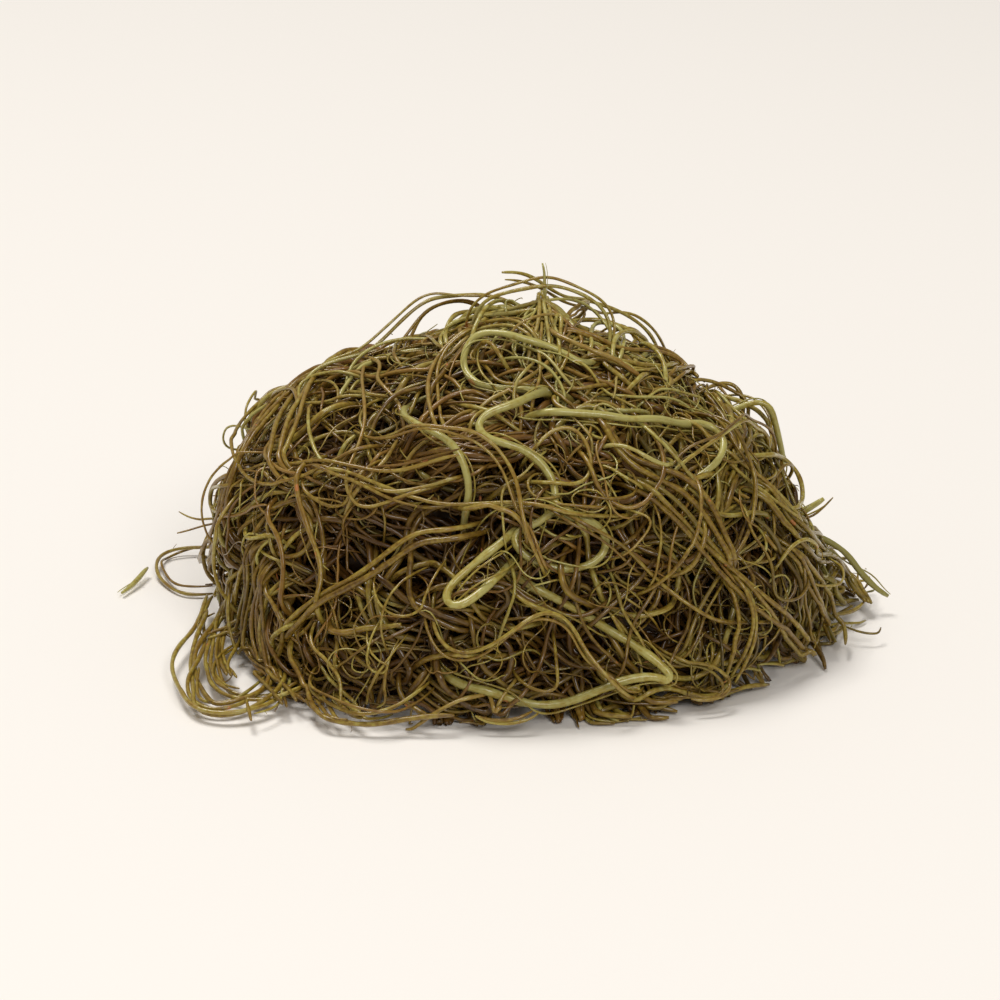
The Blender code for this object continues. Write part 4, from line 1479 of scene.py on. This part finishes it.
def uneven_radii(draw):
    """Each point's radius: a little uneven along the strand, and slimmer towards its tips."""
    lengths = np.linalg.norm(points[after] - points[before], axis=1)
    spacing = np.array([lengths[s + 1] / 2 for s in starts])[owner]
    from_start = order * spacing
    from_end = (counts[owner] - 1 - order) * spacing
    waves = [Waves(draw, (0.031, 0.013, 0.0071)) for _ in range(12)]
    wobble = np.zeros(len(points))
    for number, wave in enumerate(waves):
        mine = owner % len(waves) == number
        wobble[mine] = wave(from_start[mine] + owner[mine] * 0.01)
    tip = np.clip(np.minimum(from_start, from_end) / TIP_LENGTH, 0, 1)
    slim = TIP_SHARE + (1 - TIP_SHARE) * np.sqrt(tip)
    return radii * (1 + UNEVEN * wobble) * slim, from_start


ring_radii, lengths_along = uneven_radii(draw)
# Painted shade: strands darken towards dark brown the deeper they lie under the guide, between these
# depths.
DEEP_FROM, DEEP_TO = 0.0020, 0.0090
depth_shade = np.clip((depths - DEEP_FROM) / (DEEP_TO - DEEP_FROM), 0, 1)


def bend_strands(name, numbers):
    """One mesh object of these strands; its pattern, dye, painted light and painted shade sit on its
    points.
    """
    whole = bmesh.new()
    places, grain, dye_light_and_shade = [], [], []
    for number in numbers:
        strand = strands[number]
        data, corners = blank(int(counts[number]), strand.sides)
        whole.from_mesh(data)
        row = starts[number] + np.rint(corners[:, 2]).astype(int)
        round_it = across[row] * corners[:, 0:1] + beside[row] * corners[:, 1:2]
        places.append(points[row] + round_it * ring_radii[row][:, None])
        rounded = corners[:, :2] * strand.radius
        grain.append(np.column_stack([rounded + number * 0.013, lengths_along[row]]))
        tint = np.full(len(row), strand.tint)
        dye_light_and_shade.append(np.column_stack([tint, np.full(len(row), strand.ochre), depth_shade[row]]))
    data = bpy.data.meshes.new(name)
    whole.to_mesh(data)
    whole.free()
    data.vertices.foreach_set("co", np.concatenate(places).astype(np.float32).ravel())
    for title, values in (("grain", grain), ("dye_light_and_shade", dye_light_and_shade)):
        layer = data.attributes.new(title, "FLOAT_VECTOR", "POINT")
        layer.data.foreach_set("vector", np.concatenate(values).astype(np.float32).ravel())
    data.update()
    piece = bpy.data.objects.new(name, data)
    bpy.context.collection.objects.link(piece)
    return piece


# %% [markdown]
# ## The seaweed's colour, gloss and painted shade
# The real strands run from dark brown-olive to pale yellow-green, mottled along their length,
# with a wet gloss. The dye of each strand comes from the mesh: how pale, with painted light
# making the crown and the sides paler, and how ochre. Its depth in the heap comes too, and
# darkens deeper strands to brown as painted shade. Noise that follows the strand, stretched
# along it, adds mottling and wrinkles.

# %% Seaweed material
TINT_STOPS = (
    (0.0, (0.060, 0.026, 0.003)),
    (1.0, (0.42, 0.375, 0.110)),
    (0.3, (0.135, 0.073, 0.008)),
    (0.55, (0.235, 0.145, 0.015)),
    (0.8, (0.34, 0.260, 0.042)),
)
OCHRE = (0.26, 0.120, 0.022, 1)
MOSS = (0.135, 0.118, 0.020, 1)
# Painted shade: the dark brown that strands deep in the heap are mixed towards.
SHADE_BROWN = (0.085, 0.034, 0.005, 1)
SPOT = (0.55, 0.17, 0.05, 1)


def seaweed(name, gloss, mottling):
    shader = Shader(name)
    # Tint with painted light on the crown and sides, ochre, and depth for painted shade.
    dye_light_and_shade = shader.node("ShaderNodeAttribute", {"attribute_name": "dye_light_and_shade"}, {}, 1)
    tint = shader.node("ShaderNodeSeparateXYZ", {}, {0: dye_light_and_shade}, 0)
    ochre = shader.node("ShaderNodeSeparateXYZ", {}, {0: dye_light_and_shade}, 1)
    depth_shade = shader.node("ShaderNodeSeparateXYZ", {}, {0: dye_light_and_shade}, 2)
    grain = shader.node("ShaderNodeAttribute", {"attribute_name": "grain"}, {}, 1)
    stretched = shader.node(
        "ShaderNodeMapping", {}, {"Vector": grain, "Scale": (1.0, 1.0, 0.12)}
    )
    mottle = shader.node("ShaderNodeTexNoise", {}, {"Vector": grain, "Scale": 130, "Detail": 3})
    flecks = shader.node("ShaderNodeTexNoise", {}, {"Vector": grain, "Scale": 900, "Detail": 2})
    patches = shader.node("ShaderNodeTexNoise", {}, {"Vector": grain, "Scale": 28, "Detail": 1})
    fibres = shader.node("ShaderNodeTexNoise", {}, {"Vector": stretched, "Scale": 2600, "Detail": 2})
    pattern = (mottle - 0.5) * 0.8 + (fibres - 0.5) * 0.5 + (flecks - 0.5) * 0.9
    paleness = tint + pattern * mottling
    colour = shader.ramp(paleness, TINT_STOPS)
    colour = shader.mix((0.40 - patches) * 2.4 - ochre, colour, MOSS)
    colour = shader.mix(ochre * 0.8 + (patches - 0.55) * 1.2, colour, OCHRE)
    # Painted shade: the deeper a strand lies, the more it is darkened to brown.
    colour = shader.mix(depth_shade * 0.85, colour, SHADE_BROWN)
    spots = shader.node("ShaderNodeTexNoise", {}, {"Vector": grain, "Scale": 210, "Detail": 0})
    colour = shader.mix((spots > 0.84) * 0.6, colour, SPOT)
    bump = shader.node(
        "ShaderNodeBump", {}, {"Strength": 0.5, "Distance": 0.00012, "Height": fibres * 0.6 + flecks * 1.6}
    )
    return shader.finish(
        {
            "Base Color": colour,
            "Roughness": gloss + flecks * 0.3,
            "Normal": bump,
            "Coat Weight": 0.42,
            "Coat Roughness": 0.09,
            "Specular IOR Level": 0.32,
        }
    )


finishes = {
    slot: seaweed(f"{slot}_finish", 0.22, 0.75 if slot == "pale_seaweed" else 1.0)
    for slot in ("olive_seaweed", "pale_seaweed", "ochre_seaweed", "green_seaweed")
}

# %% Strand pieces
by_piece = {}
for number, strand in enumerate(strands):
    by_piece.setdefault(strand.piece, []).append(number)

for name, numbers in by_piece.items():
    piece = bend_strands(name, numbers)
    node = name[: -len("_fine")] if name.endswith("_fine") else "olive_tangle"
    slot = loose_slots.get(node, "olive_seaweed")
    piece.data.materials.append(finishes.get(slot, finishes["olive_seaweed"]))
    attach(piece, "root")
    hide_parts(node)
    triangles = sum(len(face.vertices) - 2 for face in piece.data.polygons)
    if node == "olive_tangle":
        print(name, len(numbers), "strands,", triangles, "triangles")
for data, _ in blanks.values():
    bpy.data.meshes.remove(data)

# %% [markdown]
# ## The packed middle
# Deep in the heap the strands press together into a ridged mass. One closed surface stands for
# it, wound with ridges, and it is all that shows through the deepest gaps. Its near-black brown
# is the strands' brown darkened as painted shade.

# %% Packed middle
CORE_INSET = 0.0135
CORE_COLUMNS = 180
CORE_ROWS = 40
CORE_RIDGE = 0.0013
CORE_LOWEST = 0.0006


def core_rings():
    rings = []
    for row in range(CORE_ROWS):
        share = math.sin(0.5 * math.pi * row / (CORE_ROWS - 0.5))
        ring = []
        for i in range(CORE_COLUMNS):
            turn = 2 * math.pi * i / CORE_COLUMNS
            ridge = math.sin(30 * turn + 9 * math.sin(3 * share + turn) + 14 * share)
            ridge += 0.6 * math.sin(23 * turn - 60 * share)
            ring.append(form_point(turn, share, CORE_INSET - CORE_RIDGE * ridge))
        outer = np.array([form_point(2 * math.pi * i / CORE_COLUMNS, share) for i in range(CORE_COLUMNS)])
        for point, extra in zip(ring, hollow_depth(outer)):
            inward = (Vector((0, 0, point.z * 0.7)) - point).normalized()
            point += inward * float(extra)
            point.z = max(point.z, CORE_LOWEST)
        rings.append(ring)
    return rings


def add_core():
    mesh = ringed_mesh(core_rings())
    data = bpy.data.meshes.new("packed_middle")
    mesh.to_mesh(data)
    mesh.free()
    core = bpy.data.objects.new("packed_middle", data)
    bpy.context.collection.objects.link(core)
    shader = Shader("packed_middle_finish")
    place = shader.node("ShaderNodeTexCoord", {}, {}, 3)
    speckle = shader.node("ShaderNodeTexNoise", {}, {"Vector": place, "Scale": 450, "Detail": 3})
    # Painted shade: near-black to dark brown, speckled, for the dark of the deepest gaps.
    colour = shader.mix(speckle, (0.020, 0.008, 0.002, 1), (0.085, 0.042, 0.008, 1))
    data.materials.append(shader.finish({"Base Color": colour, "Roughness": 0.5}))
    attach(core, "root")
    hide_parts("olive_tangle")
    return core


print(len(add_core().data.polygons), "faces in the packed middle")

# %% Sizes and finish
def plain(box):
    return [[round(value, 5) for value in corner] for corner in box]


print("CAD", plain(cad_box))
